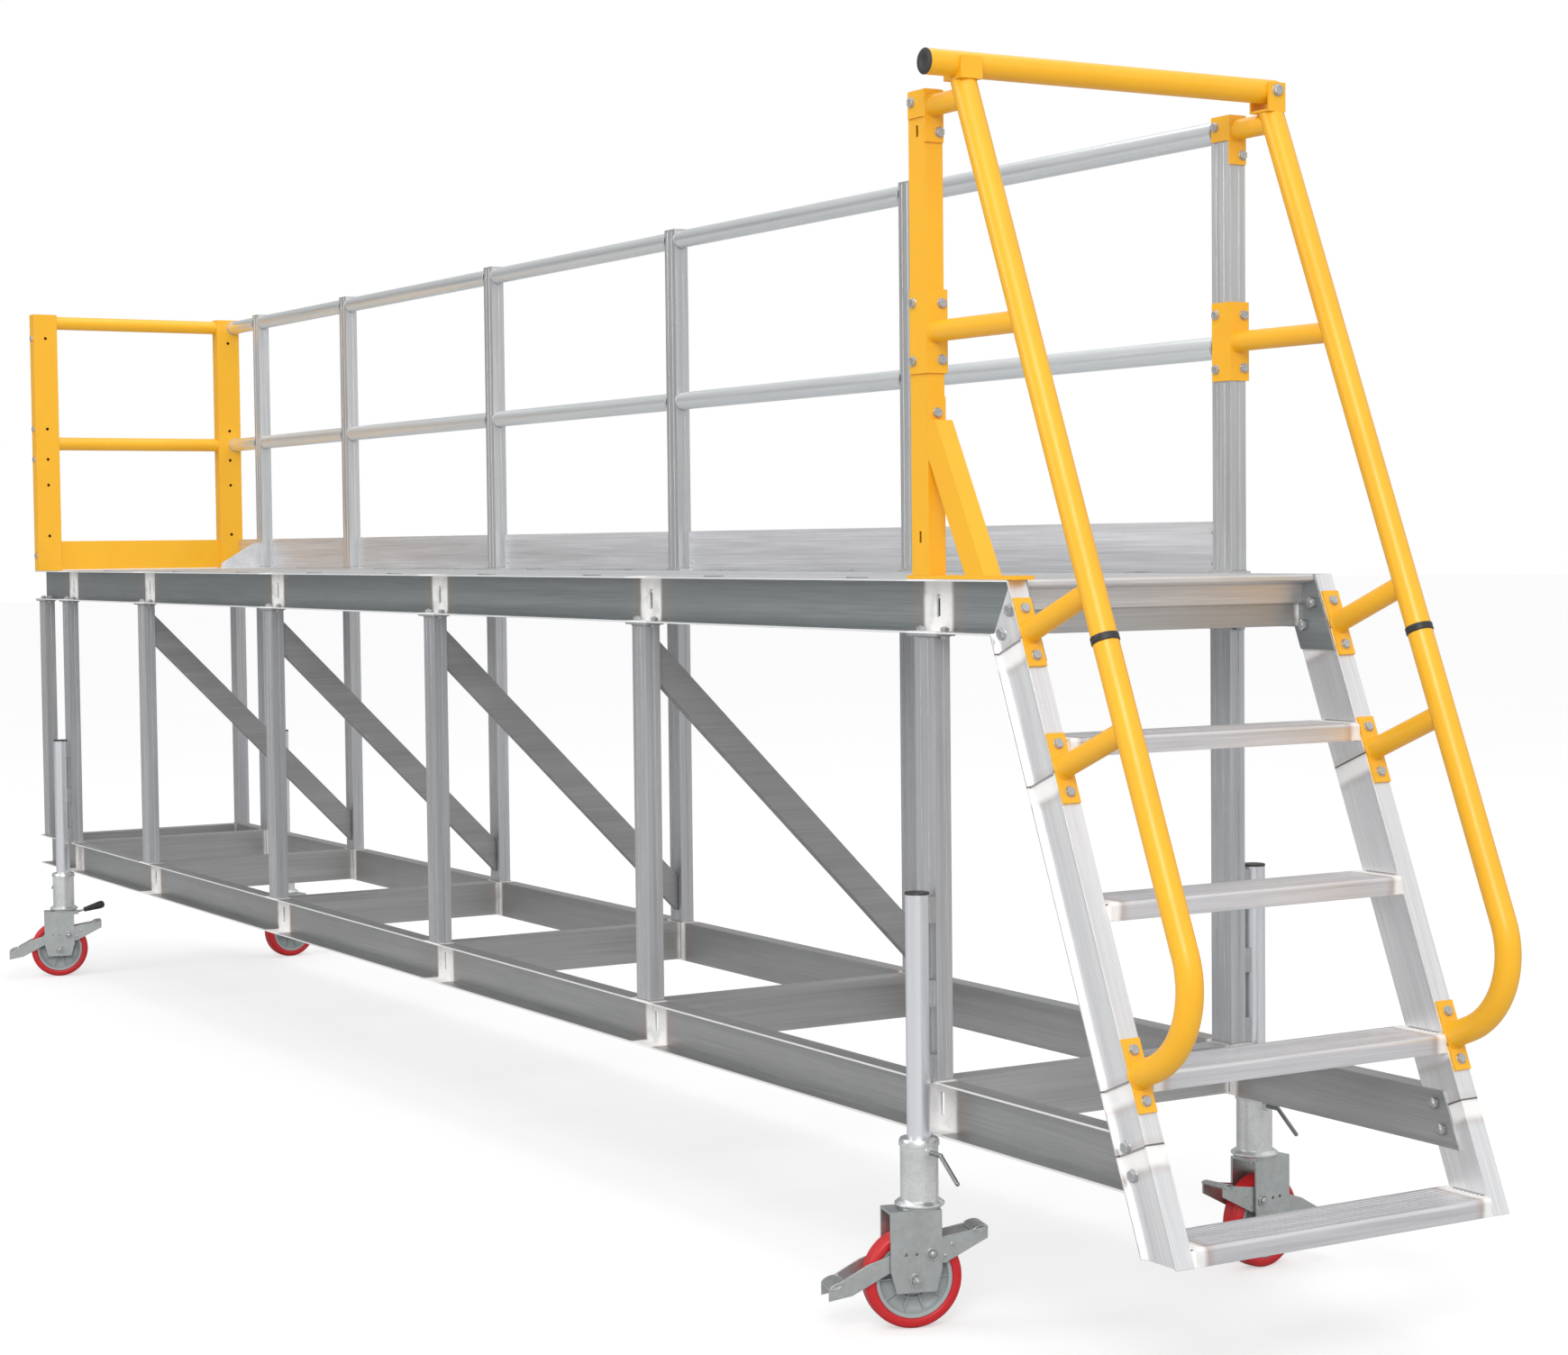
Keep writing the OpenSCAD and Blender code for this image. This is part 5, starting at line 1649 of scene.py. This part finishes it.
@dataclass
class Studio:
    """Floor, light and camera."""

    eye: tuple[float, float, float] = (7.3607, -3.554, 1.5543)
    yaw: float = 149.24
    pitch: float = -2.66
    roll: float = -0.617
    lens: float = 66.51

    def floor(self) -> None:
        """Lay a wide pale floor."""
        clear_selection()
        bpy.ops.mesh.primitive_plane_add(size=160.0, location=(0, 0, 0))
        plane = bpy.context.object
        plane.name = "studio_floor"
        material = bpy.data.materials.new("studio_floor")
        material.use_nodes = True
        graph = Graph(material.node_tree)
        shader = material.node_tree.nodes["Principled BSDF"]
        place = graph.node("TexCoord").outputs["Object"]
        noise = graph.node("TexNoise", {"Vector": place, "Scale": 0.8, "Detail": 3.0}).outputs[0]
        colour = graph.mix(noise, (0.50, 0.50, 0.50, 1.0), (0.53, 0.53, 0.53, 1.0))
        graph.tree.links.new(colour, shader.inputs["Base Color"])
        shader.inputs["Roughness"].default_value = 0.9
        shader.inputs["Emission Color"].default_value = (1.0, 1.0, 1.0, 1.0)
        seen = graph.node("LightPath").outputs["Is Camera Ray"]
        graph.tree.links.new(graph.math("MULTIPLY", seen, 0.52), shader.inputs["Emission Strength"])
        plane.data.materials.append(material)

    def sky(self) -> None:
        """Light the scene from a pale dome that is dimmer near the horizon."""
        world = bpy.data.worlds.new("studio")
        bpy.context.scene.world = world
        world.use_nodes = True
        tree = world.node_tree
        graph = Graph(tree)
        tree.nodes.clear()
        axes = graph.node("SeparateXYZ", {0: graph.node("TexCoord").outputs["Generated"]}).outputs
        level = graph.spread(axes[2], -0.1, 0.85, 0.42, 0.95)
        level = graph.math("ADD", level, graph.math("MULTIPLY", axes[0], 0.26))
        camera = graph.node("LightPath").outputs["Is Camera Ray"]
        unseen = graph.math("SUBTRACT", 1.0, camera)
        strength = graph.math("ADD", graph.math("MULTIPLY", level, unseen), camera)
        back = graph.node("Background", {"Color": (1.0, 1.0, 1.0, 1.0), "Strength": strength})
        end = graph.node("OutputWorld")
        tree.links.new(back.outputs[0], end.inputs[0])

    def lamp(self, name: str, place: tuple[float, float, float], aim: tuple[float, float, float],
             size: float, power: float) -> None:
        """Add a soft square lamp.

        Args:
            name: its name.
            place: where it stands.
            aim: what it points at.
            size: its edge length.
            power: its power in watts.
        """
        data = bpy.data.lights.new(name, "AREA")
        data.shape, data.size, data.energy = "SQUARE", size, power
        lamp = bpy.data.objects.new(name, data)
        bpy.context.scene.collection.objects.link(lamp)
        lamp.location = place
        lamp.rotation_euler = (Vector(aim) - Vector(place)).to_track_quat("-Z", "Y").to_euler()

    def camera(self) -> None:
        """Set the camera at the object's portrait angle."""
        yaw, pitch, roll = (math.radians(v) for v in (self.yaw, self.pitch, self.roll))
        ahead = Vector((math.cos(pitch) * math.cos(yaw), math.cos(pitch) * math.sin(yaw), math.sin(pitch)))
        level = Vector((math.sin(yaw), -math.cos(yaw), 0.0))
        above = level.cross(ahead)
        right = level * math.cos(roll) + above * math.sin(roll)
        up = right.cross(ahead)
        data = bpy.data.cameras.new("camera")
        data.lens, data.sensor_width = self.lens, 36.0
        data.clip_start, data.clip_end = 0.05, 400.0
        camera = bpy.data.objects.new("camera", data)
        bpy.context.scene.collection.objects.link(camera)
        turn = Matrix((right, up, -ahead)).transposed().to_4x4()
        camera.matrix_world = Matrix.Translation(self.eye) @ turn
        bpy.context.scene.camera = camera

    def build(self) -> None:
        """Build the studio."""
        self.floor()
        self.sky()
        self.lamp("key_lamp", (9.5, -5.5, 6.5), (0.5, 0.0, 1.2), 4.0, 420.0)
        self.lamp("side_lamp", (-2.0, -9.0, 5.0), (-1.0, 0.0, 1.2), 4.0, 200.0)
        self.lamp("top_lamp", (-1.0, 1.0, 8.5), (0.0, 0.0, 0.0), 6.0, 160.0)
        self.camera()
        bpy.context.scene.view_settings.view_transform = "Standard"
        LOG.info("studio is set")


def main() -> None:
    """Load the frame, build every sub-assembly, dress the frame and set the studio."""
    logging.basicConfig(level=logging.INFO, format="%(name)s: %(message)s")
    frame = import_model()
    plan = Plan()
    effects = Effects()
    materials = {key: finish.build(effects) for key, finish in finishes(plan).items()}
    maker = Maker(materials)
    for assembly in (Fasteners, Welds, StairLook, CasterLook):
        assembly(plan, maker).build()
    dress_frame(frame, materials)
    Studio().build()
    LOG.info("%d new pieces", len(maker.made))


if __name__ == "__main__":
    main()
